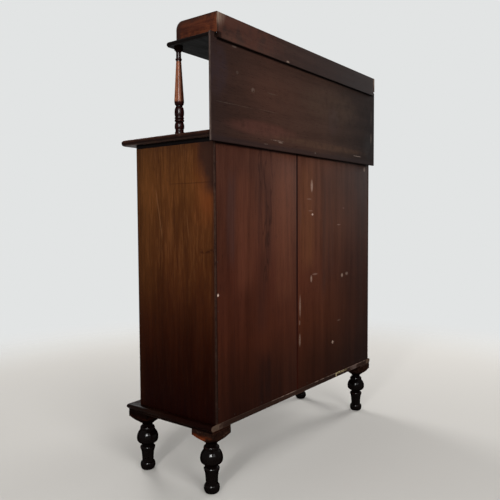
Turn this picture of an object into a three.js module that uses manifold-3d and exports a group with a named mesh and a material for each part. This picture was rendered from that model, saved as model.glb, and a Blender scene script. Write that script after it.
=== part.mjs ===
// A chiffonier: a low mahogany cupboard on four turned feet, with a projecting frieze drawer, two
// panelled doors between turned front columns, and a raised shelf with a low gallery at the back.
// Millimetres, +Z up, the front faces -Y, and the origin is on the floor at the middle of the plan.
// Right and left are those of a person who stands in front of it, so right is +X.

import * as THREE from 'three';
import { mergeVertices } from 'three/addons/utils/BufferGeometryUtils.js';
import Module from 'manifold-3d';

const wasm = await Module();
wasm.setup();

// Driving dimensions
const fitGap = 0.3;
const overrun = 5;

const carcassWidth = 926;
const carcassDepth = 300;
const sideHeight = 766;
const sideThickness = 18;
const rebateLip = 9;
const backThickness = 9;
const backJointOffset = 54.5;
const backJointGap = 2;
const subTopThickness = 12;

const footHeight = 183;
const footBlockSize = 77.5;
const footBlockHeight = 17;
const footBulbRadius = 32.3;

const plinthFrontProjection = 43;
const plinthSideProjection = 17.5;
const plinthFilletThickness = 6;
const plinthFilletInset = 5;
const baseThickness = 16;
const baseMouldingWidth = 32;

const topThickness = 17;
const topFrontOverhang = 58;
const topSideOverhang = 17.5;
const topCornerRadius = 20;
const topNoseRadius = 8;

const upperPanelThickness = 8;
const upperPanelGap = 4.5;
const upperPanelOverhang = 2.5;
const upperPanelDrop = 13;
const upperColumnHeight = 239;
const upperColumnRadius = 13.4;
const upperColumnFrontInset = 34.5;
const upperColumnInset = 18.5;
const upperShelfThickness = 12;
const upperShelfDepth = 162;
const upperShelfCornerRadius = 12;
const upperShelfNoseRadius = 5.6;
const galleryHeight = 51;
const galleryThickness = 8;
const galleryEndInset = 13;
const galleryDrop = 15;
const galleryFrontInset = 32;
const galleryCornerRadius = 22;

const frameThickness = 12;
const frameStileWidth = 83;
const friezeHeight = 106;
const friezeRailThickness = 12;
const friezeRailDepth = 60;
const friezeBlockWidth = 35;
const friezeBlockReveal = 10.75;
const friezeBlockSetback = 5;
const friezeBlockGap = 1.5;
const corniceHeight = 12;
const frontColumnRadius = 18;

const runnerBearing = 18;
const runnerGuideWidth = 12;
const runnerGuideHeight = 20;
const runnerGuideGap = 0.9;
const innerShelfThickness = 14;
const innerShelfHeight = 315;
const housingDepth = 6;

const doorThickness = 18;
const doorGap = 2;
const doorStileWidth = 56;
const doorTopRailHeight = 56;
const doorBottomRailHeight = 72;
const doorPanelThickness = 8;
const grooveDepth = 7;

const drawerFrontThickness = 30;
const drawerFrontEdge = 22;
const drawerWallThickness = 10;
const drawerBottomThickness = 6;
const drawerBottomLift = 7;
const drawerRearClearance = 19.3;
const drawerTopClearance = 13.7;
const drawerSideClearance = 4;
const drawerGrooveDepth = 5;
const drawerKnobSpacing = 470;

const knobRadius = 16;
const knobLength = 25;
const hingeHeight = 64;
const hingeLeafThickness = 1.8;
const hingeLeafDepth = 10.5;
const hingeBarrelRadius = 4;
const hingePinRadius = 2;
const hingePinClearance = 0.36;
const hingePinEnd = 1;
const hingeEndDistance = 95;
const lockCaseWidth = 44;
const lockCaseHeight = 44;
const lockCaseThickness = 11;
const lockCaseInset = 3;
const lockShelfClearance = 14;
const boltLength = 27;
const boltWidth = 12;
const boltThickness = 6;
const keyholeRadius = 3;
const keyholeSlotWidth = 3;
const keyholeSlotLength = 9;
const doorKnobRise = 52;

// Turnings as rows of height, radius and swell, from the bottom up. Heights are shares of the turned
// height and radii are shares of the greatest radius. A swell is the rise of an elliptical bead over
// the straight line from the row before, and a negative swell is a hollow.
const footTurningShares = [
  [0, 0, 0],
  [0, 0.49, 0],
  [0.148, 0.53, 0.19],
  [0.17, 0.53, 0],
  [0.3, 0.57, 0],
  [0.35, 0.61, 0],
  [0.392, 0.69, 0],
  [0.412, 0.715, 0],
  [0.432, 0.67, 0],
  [0.465, 0.48, 0],
  [0.48, 0.58, 0],
  [0.503, 0.8, 0],
  [0.523, 0.91, 0],
  [0.545, 0.98, 0],
  [0.585, 1.01, 0],
  [0.63, 0.99, 0],
  [0.67, 0.93, 0],
  [0.71, 0.81, 0],
  [0.738, 0.68, 0],
  [0.744, 0.65, 0],
  [0.8, 0.61, 0.065],
  [0.83, 0.475, 0],
  [1, 1.7, -0.2],
];

const upperColumnShares = [
  [0, 0, 0],
  [0, 0.94, 0],
  [0.022, 0.94, 0],
  [0.026, 0.845, 0],
  [0.047, 0.86, 0],
  [0.052, 0.84, 0],
  [0.13, 0.77, 0.19],
  [0.138, 0.83, 0],
  [0.165, 0.83, 0.16],
  [0.169, 0.84, 0],
  [0.193, 0.84, 0.13],
  [0.198, 0.83, 0],
  [0.303, 0.76, 0.19],
  [0.313, 0.67, 0],
  [0.322, 0.68, 0],
  [0.335, 0.89, 0],
  [0.35, 0.965, 0],
  [0.372, 1, 0],
  [0.832, 0.525, 0],
  [0.837, 0.525, 0],
  [0.862, 0.525, 0.14],
  [0.867, 0.525, 0],
  [0.922, 0.51, 0],
  [0.953, 0.85, -0.08],
  [0.957, 0.885, 0],
  [1, 0.885, 0],
  [1, 0, 0],
];

const frontColumnShares = [
  [0, 0, 0],
  [0, 1, 0],
  [0.018, 1, 0],
  [0.021, 0.78, 0],
  [0.037, 0.78, 0.16],
  [0.041, 0.7, 0],
  [0.088, 0.7, 0.29],
  [0.092, 0.72, 0],
  [0.107, 0.72, 0.22],
  [0.112, 0.62, 0],
  [0.15, 0.92, 0],
  [0.2, 1, 0],
  [0.82, 0.62, 0],
  [0.838, 0.62, 0.24],
  [0.843, 0.6, 0],
  [0.915, 0.64, 0],
  [0.95, 0.74, 0.2],
  [0.955, 0.95, 0],
  [1, 0.95, 0],
];

const knobShares = [
  [0, 0, 0],
  [0, 0.62, 0],
  [0.1, 0.62, 0],
  [0.16, 0.42, 0],
  [0.4, 0.46, -0.03],
  [0.95, 0.4, 0.57],
  [1, 0.3, 0],
  [1, 0, 0],
];

// Heights of the main levels
const footTop = footHeight;
const filletTop = footTop + plinthFilletThickness;
const baseTop = filletTop + baseThickness;
const sideTop = baseTop + sideHeight;
const subTopTop = sideTop + subTopThickness;
const topTop = subTopTop + topThickness;
const shelfUnder = topTop + upperColumnHeight;
const shelfTop = shelfUnder + upperShelfThickness;
const galleryTop = shelfTop + galleryHeight;
const friezeUnder = sideTop - friezeHeight;
const railUnder = friezeUnder - friezeRailThickness;

// Places in depth, from the back of the gallery to the front of the top
const hungDepth = upperPanelGap + upperPanelThickness + galleryThickness;
const overallDepth = topFrontOverhang + carcassDepth + hungDepth;
const galleryRear = overallDepth / 2;
const panelRear = galleryRear - galleryThickness;
const panelFront = panelRear - upperPanelThickness;
const carcassRear = panelFront - upperPanelGap;
const backFace = carcassRear - backThickness;
const carcassFront = carcassRear - carcassDepth;
const frameRear = carcassFront + frameThickness;
const topFront = carcassFront - topFrontOverhang;
const plinthFront = carcassFront - plinthFrontProjection;

// Places in width, from the middle outwards
const carcassHalf = carcassWidth / 2;
const sideInner = carcassHalf - sideThickness;
const frameInner = carcassHalf - frameStileWidth;
const plinthHalf = carcassHalf + plinthSideProjection;
const topHalf = carcassHalf + topSideOverhang;
const sides = [
  { name: 'right', sign: 1 },
  { name: 'left', sign: -1 },
];

// Woods and metals
const woods = {
  side: { color: 0x5c3a22, roughness: 0.5, metalness: 0 },
  back: { color: 0x47281f, roughness: 0.8, metalness: 0 },
  panel: { color: 0x3c2a28, roughness: 0.75, metalness: 0 },
  gallery: { color: 0x5b3322, roughness: 0.55, metalness: 0 },
  board: { color: 0x38221a, roughness: 0.4, metalness: 0 },
  polished: { color: 0x4a2417, roughness: 0.3, metalness: 0 },
  ebonised: { color: 0x140d0b, roughness: 0.25, metalness: 0 },
  inner: { color: 0x8a6544, roughness: 0.85, metalness: 0 },
  brass: { color: 0xb08d4f, roughness: 0.35, metalness: 1 },
};

const chiffonier = new THREE.Group();

// Names a geometry, gives it its own material and adds it to the object.
function add(name, geometry, finish) {
  const mesh = new THREE.Mesh(geometry, new THREE.MeshStandardMaterial(woods[finish]));
  mesh.name = name;
  chiffonier.add(mesh);
}

// A box between two limits along each axis, which may be given in either order.
function board([xa, xb], [ya, yb], [za, zb]) {
  const geometry = new THREE.BoxGeometry(Math.abs(xb - xa), Math.abs(yb - ya), Math.abs(zb - za));
  geometry.translate((xa + xb) / 2, (ya + yb) / 2, (za + zb) / 2);
  return geometry;
}

function outline(points) {
  return new THREE.Shape(points.map(([u, v]) => new THREE.Vector2(u, v)));
}

// An outline in x and y, raised from one height to another.
function raised(points, low, high) {
  const settings = { depth: high - low, bevelEnabled: false };
  const geometry = new THREE.ExtrudeGeometry(outline(points), settings);
  geometry.translate(0, 0, low);
  return geometry;
}

// An outline in y and z, run along x.
function runAlongX(shape, from, to) {
  const settings = { depth: to - from, bevelEnabled: false, curveSegments: 6 };
  const geometry = new THREE.ExtrudeGeometry(shape, settings);
  const turn = new THREE.Matrix4().makeBasis(
    new THREE.Vector3(0, 1, 0),
    new THREE.Vector3(0, 0, 1),
    new THREE.Vector3(1, 0, 0),
  );
  geometry.applyMatrix4(turn);
  geometry.translate(from, 0, 0);
  return geometry;
}

// An outline in z and x, run along y.
function runAlongY(shape, from, to) {
  const settings = { depth: to - from, bevelEnabled: false, curveSegments: 6 };
  const geometry = new THREE.ExtrudeGeometry(shape, settings);
  const turn = new THREE.Matrix4().makeBasis(
    new THREE.Vector3(0, 0, 1),
    new THREE.Vector3(1, 0, 0),
    new THREE.Vector3(0, 1, 0),
  );
  geometry.applyMatrix4(turn);
  geometry.translate(0, from, 0);
  return geometry;
}

// The points of a turning from its rows of shares.
function turningPoints(shares, height, radius, beadSteps) {
  const points = [];
  let last = null;
  for (const [heightShare, radiusShare, swellShare] of shares) {
    const point = new THREE.Vector2(radiusShare * radius, heightShare * height);
    if (swellShare !== 0) {
      for (let step = 1; step < beadSteps; step += 1) {
        const angle = (Math.PI * step) / beadSteps;
        const along = (1 - Math.cos(angle)) / 2;
        const between = last.clone().lerp(point, along);
        between.x += swellShare * radius * Math.sin(angle);
        points.push(between);
      }
    }
    points.push(point);
    last = point;
  }
  return points;
}

// A turned solid that stands on z = 0.
function turned(points, segments) {
  const geometry = new THREE.LatheGeometry(points, segments);
  geometry.rotateX(Math.PI / 2);
  return geometry;
}

// A closed geometry as a solid that can be joined and cut.
function solid(geometry) {
  const bare = geometry.clone();
  bare.deleteAttribute('normal');
  bare.deleteAttribute('uv');
  const merged = mergeVertices(bare);
  const index = merged.index.array;
  const corners = [];
  for (let i = 0; i < index.length; i += 3) {
    const [a, b, c] = [index[i], index[i + 1], index[i + 2]];
    if (a !== b && b !== c && c !== a) corners.push(a, b, c);
  }
  const mesh = new wasm.Mesh({
    numProp: 3,
    vertProperties: new Float32Array(merged.attributes.position.array),
    triVerts: new Uint32Array(corners),
  });
  return new wasm.Manifold(mesh);
}

function geometryOf(body) {
  const mesh = body.getMesh();
  const geometry = new THREE.BufferGeometry();
  const positions = new Float32Array((mesh.vertProperties.length / mesh.numProp) * 3);
  for (let i = 0; i < positions.length / 3; i += 1) {
    positions.set(mesh.vertProperties.subarray(i * mesh.numProp, i * mesh.numProp + 3), i * 3);
  }
  geometry.setAttribute('position', new THREE.BufferAttribute(positions, 3));
  geometry.setIndex(new THREE.BufferAttribute(new Uint32Array(mesh.triVerts), 1));
  return geometry;
}

function cut(geometry, ...cutters) {
  let body = solid(geometry);
  for (const cutter of cutters) body = body.subtract(solid(cutter));
  return geometryOf(body);
}

function upright(radius, low, high, x, y, segments) {
  const geometry = new THREE.CylinderGeometry(radius, radius, high - low, segments);
  geometry.rotateX(Math.PI / 2);
  geometry.translate(x, y, (low + high) / 2);
  return geometry;
}

// The four feet: each is turned from a square block, whose corners break into a hollow shoulder.
function footGeometry(x, y) {
  const turnedHeight = footHeight - footBlockHeight;
  const points = turningPoints(footTurningShares, turnedHeight, footBulbRadius, 5);
  const blockRadius = footBlockSize * Math.SQRT1_2 + overrun / 2;
  points.push(new THREE.Vector2(blockRadius, turnedHeight));
  points.push(new THREE.Vector2(blockRadius, footHeight));
  points.push(new THREE.Vector2(0, footHeight));
  const half = footBlockSize / 2;
  const square = board([-half, half], [-half, half], [-overrun, footHeight]);
  const geometry = geometryOf(solid(turned(points, 16)).intersect(solid(square)));
  geometry.translate(x, y, 0);
  return geometry;
}

const filletHalf = plinthHalf - plinthFilletInset;
const filletFront = plinthFront + plinthFilletInset;
const footX = filletHalf - footBlockSize / 2;
const footRearY = carcassRear - footBlockSize / 2;
const footFrontY = filletFront + footBlockSize / 2;
for (const { name, sign } of sides) {
  add(`rear_${name}_foot`, footGeometry(sign * footX, footRearY), 'ebonised');
  add(`front_${name}_foot`, footGeometry(sign * footX, footFrontY), 'ebonised');
}

// The fillet frame lies on the feet, open at the back, and shows as a thin step under the moulding.
const filletInner = filletHalf - footBlockSize;
const filletInnerFront = filletFront + footBlockSize;
const filletPlan = [
  [-filletHalf, carcassRear],
  [-filletHalf, filletFront],
  [filletHalf, filletFront],
  [filletHalf, carcassRear],
  [filletInner, carcassRear],
  [filletInner, filletInnerFront],
  [-filletInner, filletInnerFront],
  [-filletInner, carcassRear],
];
add('plinth_fillet_frame', raised(filletPlan, footTop, filletTop), 'polished');

// The base board, with round-nosed mouldings mitred round its front and ends.
const baseHalf = plinthHalf - baseMouldingWidth;
const baseFront = plinthFront + baseMouldingWidth;
add('base_board', board([-baseHalf, baseHalf], [baseFront, carcassRear], [filletTop, baseTop]), 'board');

// The section of the moulding, with its nose at outer and its back at inner.
function noseSection(outer, inner) {
  const radius = baseThickness / 2;
  const towardsInner = Math.sign(inner - outer);
  const centre = outer + towardsInner * radius;
  const points = [[inner, filletTop], [inner, baseTop]];
  const steps = 6;
  for (let step = 0; step <= steps; step += 1) {
    const angle = Math.PI / 2 - (Math.PI * step) / steps;
    const u = centre - towardsInner * radius * Math.cos(angle);
    points.push([u, filletTop + radius + radius * Math.sin(angle)]);
  }
  return points;
}

// A wedge on one side of the mitre at a front corner: it trims the front strip if it lies behind the
// mitre, and the strip of the side if it lies before it.
function mitreWedge(sign, behind) {
  const reach = baseMouldingWidth + overrun;
  const shift = behind ? fitGap / 2 : -fitGap / 2;
  const start = [sign * (plinthHalf + overrun - shift), plinthFront - overrun];
  const end = [sign * (plinthHalf - reach - shift), plinthFront + reach];
  const corner = behind
    ? [start[0] + sign * overrun, end[1] + overrun]
    : [end[0] - sign * overrun, start[1] - overrun];
  return raised([start, end, corner], filletTop - overrun, baseTop + overrun);
}

const frontMoulding = runAlongX(outline(noseSection(plinthFront, baseFront)), -plinthHalf, plinthHalf);
add('base_moulding_front', cut(frontMoulding, mitreWedge(1, true), mitreWedge(-1, true)), 'polished');
for (const { name, sign } of sides) {
  const section = noseSection(sign * plinthHalf, sign * baseHalf).map(([x, z]) => [z, x]);
  const strip = runAlongY(outline(section), plinthFront, carcassRear);
  add(`base_moulding_${name}`, cut(strip, mitreWedge(sign, false)), 'polished');
}

// The carcass sides, rebated at the back for the back boards and grooved for the inner shelf.
const innerShelfUnder = baseTop + innerShelfHeight;
const innerShelfTop = innerShelfUnder + innerShelfThickness;
const innerShelfFront = carcassFront + doorThickness + fitGap;
for (const { name, sign } of sides) {
  const plan = [
    [sign * sideInner, frameRear],
    [sign * carcassHalf, frameRear],
    [sign * carcassHalf, carcassRear],
    [sign * (carcassHalf - rebateLip), carcassRear],
    [sign * (carcassHalf - rebateLip), backFace],
    [sign * sideInner, backFace],
  ];
  const housing = board(
    [sign * (sideInner - overrun), sign * (sideInner + housingDepth)],
    [innerShelfFront - overrun, carcassRear + overrun],
    [innerShelfUnder - fitGap, innerShelfTop + fitGap],
  );
  add(`side_${name}`, cut(raised(plan, baseTop, sideTop), housing), 'side');
}

add(
  'inner_shelf',
  board(
    [-sideInner - housingDepth + fitGap, sideInner + housingDepth - fitGap],
    [innerShelfFront, backFace - fitGap],
    [innerShelfUnder, innerShelfTop],
  ),
  'inner',
);

// Two upright back boards fill the rebates and meet off the middle.
const backOuter = carcassHalf - rebateLip - fitGap;
const backSpanY = [backFace + fitGap, carcassRear];
const backSpanZ = [baseTop, sideTop];
add('back_board_right', board([backJointOffset + backJointGap / 2, backOuter], backSpanY, backSpanZ), 'back');
add('back_board_left', board([-backOuter, backJointOffset - backJointGap / 2], backSpanY, backSpanZ), 'back');

add(
  'sub_top',
  board([-carcassHalf, carcassHalf], [carcassFront, carcassRear], [sideTop, subTopTop]),
  'ebonised',
);

// The frieze rail divides the drawer from the cupboard. Its front lip lies between the stiles.
const railRear = carcassFront + friezeRailDepth;
const railPlan = [
  [-frameInner, carcassFront],
  [frameInner, carcassFront],
  [frameInner, frameRear],
  [sideInner, frameRear],
  [sideInner, railRear],
  [-sideInner, railRear],
  [-sideInner, frameRear],
  [-frameInner, frameRear],
];
add('frieze_rail', raised(railPlan, railUnder, friezeUnder), 'side');

// Each runner carries one side of the drawer, and its raised guide keeps the drawer straight.
const drawerHalf = frameInner - drawerSideClearance;
for (const { name, sign } of sides) {
  const inner = drawerHalf - runnerBearing;
  const guideInner = drawerHalf + runnerGuideGap;
  const guideOuter = guideInner + runnerGuideWidth;
  const section = [
    [railUnder, sign * inner],
    [railUnder, sign * sideInner],
    [friezeUnder, sign * sideInner],
    [friezeUnder, sign * guideOuter],
    [friezeUnder + runnerGuideHeight, sign * guideOuter],
    [friezeUnder + runnerGuideHeight, sign * guideInner],
    [friezeUnder, sign * guideInner],
    [friezeUnder, sign * inner],
  ];
  add(`drawer_runner_${name}`, runAlongY(outline(section), railRear, backFace), 'inner');
}

// The frieze stands forward of the carcass between the square heads of two turned columns.
const blockInner = frameInner + friezeBlockReveal;
const blockOuter = blockInner + friezeBlockWidth;
const blockFront = plinthFront + friezeBlockSetback;
const columnX = (blockOuter + blockInner) / 2;
const columnY = blockFront + frontColumnRadius;
for (const { name, sign } of sides) {
  const shaftHeight = friezeUnder - baseTop;
  const points = turningPoints(frontColumnShares, shaftHeight, frontColumnRadius, 4);
  const tenonTop = shaftHeight + overrun;
  points.push(new THREE.Vector2(points.at(-1).x, tenonTop), new THREE.Vector2(0, tenonTop));
  const shaft = turned(points, 14);
  shaft.translate(sign * columnX, columnY, baseTop);
  const headSpanX = [sign * blockInner, sign * blockOuter];
  const head = board(headSpanX, [blockFront, carcassFront], [friezeUnder, subTopTop]);
  add(`front_column_${name}`, geometryOf(solid(head).add(solid(shaft))), 'polished');
}
const corniceUnder = subTopTop - corniceHeight;
add(
  'frieze_cornice',
  board([-blockInner, blockInner], [blockFront, carcassFront], [corniceUnder, subTopTop]),
  'polished',
);

// The hinges: the frame's leaf holds the two end knuckles, and the door's leaf the middle one.
const hingePinX = frameInner - doorGap / 2;
const hingePinY = carcassFront - hingeBarrelRadius - fitGap;
const doorLow = baseTop + doorGap;
const doorHigh = railUnder - doorGap;
const hingeHeights = [doorLow + hingeEndDistance, doorHigh - hingeEndDistance];
const hingeLevels = ['low', 'high'];
const knuckleLength = hingeHeight / 3;
const leafRear = carcassFront + hingeLeafDepth;

function leafSpanX(sign, inward) {
  const near = hingePinX - (inward * doorGap) / 2;
  return [sign * near, sign * (near - inward * hingeLeafThickness)];
}

// The frame's leaf carries the pin, and the door's leaf turns on it.
function hingeLeaf(sign, inward, middle) {
  const low = middle - hingeHeight / 2;
  const plate = board(leafSpanX(sign, inward), [hingePinY, leafRear], [low, low + hingeHeight]);
  let body = solid(plate);
  for (let k = 0; k < 3; k += 1) {
    const own = (k === 1) === (inward > 0);
    const from = low + k * knuckleLength;
    const to = from + knuckleLength;
    const radius = own ? hingeBarrelRadius : hingeBarrelRadius + fitGap;
    const inset = own ? fitGap / 2 : -fitGap / 2;
    const barrel = solid(upright(radius, from + inset, to - inset, sign * hingePinX, hingePinY, 12));
    body = own ? body.add(barrel) : body.subtract(barrel);
  }
  if (inward > 0) {
    const reach = hingeHeight / 2 + overrun;
    const boreRadius = hingePinRadius + hingePinClearance;
    const bore = upright(boreRadius, middle - reach, middle + reach, sign * hingePinX, hingePinY, 12);
    return geometryOf(body.subtract(solid(bore)));
  }
  const half = hingeHeight / 2 + hingePinEnd;
  const pin = upright(hingePinRadius, middle - half, middle + half, sign * hingePinX, hingePinY, 12);
  return geometryOf(body.add(solid(pin)));
}

// A pocket in the wood for a leaf, cut through its edge and its front face.
function leafPocket(sign, inward, middle) {
  const [near, far] = leafSpanX(sign, inward);
  const outwards = Math.sign(near - far);
  return board(
    [near + outwards * doorGap, far - outwards * fitGap],
    [carcassFront - overrun, leafRear + fitGap],
    [middle - hingeHeight / 2 - fitGap, middle + hingeHeight / 2 + fitGap],
  );
}

for (const { name, sign } of sides) {
  const stile = board([sign * frameInner, sign * carcassHalf], [carcassFront, frameRear], [baseTop, sideTop]);
  const pockets = hingeHeights.map((height) => leafPocket(sign, -1, height));
  add(`frame_stile_${name}`, cut(stile, ...pockets), 'side');
}

for (const { name, sign } of sides) {
  for (const [level, height] of hingeHeights.entries()) {
    add(`${name}_frame_hinge_leaf_${hingeLevels[level]}`, hingeLeaf(sign, -1, height), 'brass');
  }
}

// The doors: grooved stiles and rails round a thin panel.
const doorOuter = frameInner - doorGap;
const doorInner = doorGap / 2;
const doorRear = carcassFront + doorThickness;
const grooveHalf = doorPanelThickness / 2 + fitGap;
const doorMiddleY = (carcassFront + doorRear) / 2;

// A bar's section from its plain edge to its grooved edge, with the thickness in y.
function groovedSection(plain, grooved) {
  const bottom = grooved + Math.sign(plain - grooved) * grooveDepth;
  return [
    [plain, carcassFront],
    [grooved, carcassFront],
    [grooved, doorMiddleY - grooveHalf],
    [bottom, doorMiddleY - grooveHalf],
    [bottom, doorMiddleY + grooveHalf],
    [grooved, doorMiddleY + grooveHalf],
    [grooved, doorRear],
    [plain, doorRear],
  ];
}

// The keyhole: a round hole over a short slot, cut through from front to back.
const lockMiddleX = doorInner + lockCaseInset + lockCaseWidth / 2;
const lockMiddleZ = innerShelfTop + lockShelfClearance + lockCaseHeight / 2;
function keyhole() {
  const from = carcassFront - overrun;
  const to = doorRear + overrun;
  const round = new THREE.CylinderGeometry(keyholeRadius, keyholeRadius, to - from, 12);
  round.translate(lockMiddleX, (from + to) / 2, lockMiddleZ);
  const slotSpanX = [lockMiddleX - keyholeSlotWidth / 2, lockMiddleX + keyholeSlotWidth / 2];
  const slot = board(slotSpanX, [from, to], [lockMiddleZ - keyholeSlotLength, lockMiddleZ]);
  return [round, slot];
}

for (const { name, sign } of sides) {
  const hingePockets = hingeHeights.map((height) => leafPocket(sign, 1, height));
  const outer = groovedSection(doorOuter, doorOuter - doorStileWidth).map(([x, y]) => [sign * x, y]);
  add(`${name}_door_hinge_stile`, cut(raised(outer, doorLow, doorHigh), ...hingePockets), 'polished');
  const inner = groovedSection(doorInner, doorInner + doorStileWidth).map(([x, y]) => [sign * x, y]);
  const meeting = raised(inner, doorLow, doorHigh);
  add(`${name}_door_meeting_stile`, sign > 0 ? cut(meeting, ...keyhole()) : meeting, 'polished');

  const railFrom = sign > 0 ? doorInner + doorStileWidth : -doorOuter + doorStileWidth;
  const railTo = sign > 0 ? doorOuter - doorStileWidth : -doorInner - doorStileWidth;
  const panelLow = doorLow + doorBottomRailHeight;
  const panelHigh = doorHigh - doorTopRailHeight;
  const topRail = groovedSection(doorHigh, panelHigh).map(([z, y]) => [y, z]);
  add(`${name}_door_top_rail`, runAlongX(outline(topRail), railFrom, railTo), 'polished');
  const bottomRail = groovedSection(doorLow, panelLow).map(([z, y]) => [y, z]);
  add(`${name}_door_bottom_rail`, runAlongX(outline(bottomRail), railFrom, railTo), 'polished');

  const reach = grooveDepth - fitGap;
  add(
    `${name}_door_panel`,
    board(
      [railFrom - reach, railTo + reach],
      [doorMiddleY - doorPanelThickness / 2, doorMiddleY + doorPanelThickness / 2],
      [panelLow - reach, panelHigh + reach],
    ),
    'polished',
  );
  for (const [level, height] of hingeHeights.entries()) {
    add(`${name}_door_hinge_leaf_${hingeLevels[level]}`, hingeLeaf(sign, 1, height), 'brass');
  }
}

// The knobs are turned along z and then laid to point to the front.
function knobAt(x, face, z) {
  const geometry = turned(turningPoints(knobShares, knobLength, knobRadius, 4), 12);
  geometry.rotateX(Math.PI / 2);
  geometry.translate(x, face, z);
  return geometry;
}
add('right_door_knob', knobAt(lockMiddleX, carcassFront, lockMiddleZ + doorKnobRise), 'ebonised');

// The lock on the back of the right door. Its bolt slides out behind the left door's stile.
const caseInner = doorInner + lockCaseInset;
const caseSpanX = [caseInner, caseInner + lockCaseWidth];
const caseSpanY = [doorRear, doorRear + lockCaseThickness];
const caseSpanZ = [lockMiddleZ - lockCaseHeight / 2, lockMiddleZ + lockCaseHeight / 2];
const boltMiddleY = doorRear + lockCaseThickness / 2;
const boltRest = caseInner + fitGap;
const channel = board(
  [caseInner - overrun, boltRest + boltLength + fitGap],
  [boltMiddleY - boltThickness / 2 - fitGap, boltMiddleY + boltThickness / 2 + fitGap],
  [lockMiddleZ - boltWidth / 2 - fitGap, lockMiddleZ + boltWidth / 2 + fitGap],
);
add('right_door_lock_case', cut(board(caseSpanX, caseSpanY, caseSpanZ), channel), 'brass');
add(
  'right_door_lock_bolt',
  board(
    [boltRest, boltRest + boltLength],
    [boltMiddleY - boltThickness / 2, boltMiddleY + boltThickness / 2],
    [lockMiddleZ - boltWidth / 2, lockMiddleZ + boltWidth / 2],
  ),
  'brass',
);

// The drawer: a cushion front over a plain box, whose bottom lies in grooves in the sides.
const drawerFrontRear = carcassFront - fitGap;
const drawerFrontFace = drawerFrontRear - drawerFrontThickness;
const drawerFrontEdgeFace = drawerFrontRear - drawerFrontEdge;
const drawerFrontHalf = blockInner - friezeBlockGap;
const drawerFrontLow = friezeUnder + friezeBlockGap;
const drawerFrontHigh = corniceUnder - friezeBlockGap;
const cushion = new THREE.Shape();
cushion.moveTo(drawerFrontRear, drawerFrontHigh);
cushion.lineTo(drawerFrontEdgeFace, drawerFrontHigh);
cushion.quadraticCurveTo(
  drawerFrontFace * 2 - drawerFrontEdgeFace,
  (drawerFrontLow + drawerFrontHigh) / 2,
  drawerFrontEdgeFace,
  drawerFrontLow,
);
cushion.lineTo(drawerFrontRear, drawerFrontLow);
cushion.closePath();
add('drawer_front', runAlongX(cushion, -drawerFrontHalf, drawerFrontHalf), 'polished');

const drawerSideLow = friezeUnder + fitGap;
const drawerSideTop = sideTop - drawerTopClearance;
const drawerBottomUnder = drawerSideLow + drawerBottomLift;
const drawerBottomTop = drawerBottomUnder + drawerBottomThickness;
const drawerRear = backFace - drawerRearClearance;
const drawerInner = drawerHalf - drawerWallThickness;
for (const { name, sign } of sides) {
  const groove = drawerInner + drawerGrooveDepth;
  const section = [
    [drawerSideLow, sign * drawerInner],
    [drawerSideLow, sign * drawerHalf],
    [drawerSideTop, sign * drawerHalf],
    [drawerSideTop, sign * drawerInner],
    [drawerBottomTop + fitGap, sign * drawerInner],
    [drawerBottomTop + fitGap, sign * groove],
    [drawerBottomUnder - fitGap, sign * groove],
    [drawerBottomUnder - fitGap, sign * drawerInner],
  ];
  add(`drawer_side_${name}`, runAlongY(outline(section), drawerFrontRear, drawerRear), 'inner');
}
const bottomHalf = drawerInner + drawerGrooveDepth - fitGap;
add(
  'drawer_bottom',
  board([-bottomHalf, bottomHalf], [drawerFrontRear, drawerRear], [drawerBottomUnder, drawerBottomTop]),
  'inner',
);
add(
  'drawer_back',
  board(
    [-drawerInner, drawerInner],
    [drawerRear - drawerWallThickness, drawerRear],
    [drawerBottomTop, drawerSideTop],
  ),
  'inner',
);
const knobHeight = (drawerFrontLow + drawerFrontHigh) / 2;
for (const { name, sign } of sides) {
  add(`drawer_knob_${name}`, knobAt((sign * drawerKnobSpacing) / 2, drawerFrontFace, knobHeight), 'ebonised');
}

// A board with a rounded edge on its front and ends, and rounded front corners in plan.
function nosedBoard(half, front, rear, low, high, cornerRadius, noseRadius) {
  const beyond = rear + noseRadius + overrun;
  const shape = new THREE.Shape();
  shape.moveTo(half, beyond);
  shape.lineTo(-half, beyond);
  shape.lineTo(-half, front + cornerRadius);
  shape.absarc(-half + cornerRadius, front + cornerRadius, cornerRadius, Math.PI, Math.PI * 1.5, false);
  shape.absarc(half - cornerRadius, front + cornerRadius, cornerRadius, Math.PI * 1.5, Math.PI * 2, false);
  shape.closePath();
  const geometry = new THREE.ExtrudeGeometry(shape, {
    depth: high - low - noseRadius * 2,
    bevelEnabled: true,
    bevelThickness: noseRadius,
    bevelSize: noseRadius,
    bevelOffset: -noseRadius,
    bevelSegments: 3,
    curveSegments: 5,
  });
  geometry.translate(0, 0, low + noseRadius);
  const reach = half + overrun;
  const behind = board([-reach, reach], [rear, beyond + overrun], [low - overrun, high + overrun]);
  return cut(geometry, behind);
}

add(
  'top_board',
  nosedBoard(topHalf, topFront, panelFront, subTopTop, topTop, topCornerRadius, topNoseRadius),
  'board',
);

// The superstructure: a back panel that hangs behind the top, two turned columns and a shelf.
const panelHalf = topHalf + upperPanelOverhang;
const shelfFront = panelFront - upperShelfDepth;
add(
  'upper_back_panel',
  board([-panelHalf, panelHalf], [panelFront, panelRear], [subTopTop - upperPanelDrop, shelfTop]),
  'panel',
);
add(
  'upper_shelf',
  nosedBoard(
    topHalf,
    shelfFront,
    panelFront,
    shelfUnder,
    shelfTop,
    upperShelfCornerRadius,
    upperShelfNoseRadius,
  ),
  'ebonised',
);
for (const { name, sign } of sides) {
  const points = turningPoints(upperColumnShares, upperColumnHeight, upperColumnRadius, 4);
  const column = turned(points, 12);
  column.translate(sign * (topHalf - upperColumnInset), shelfFront + upperColumnFrontInset, topTop);
  add(`upper_column_${name}`, column, 'polished');
}

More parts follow.
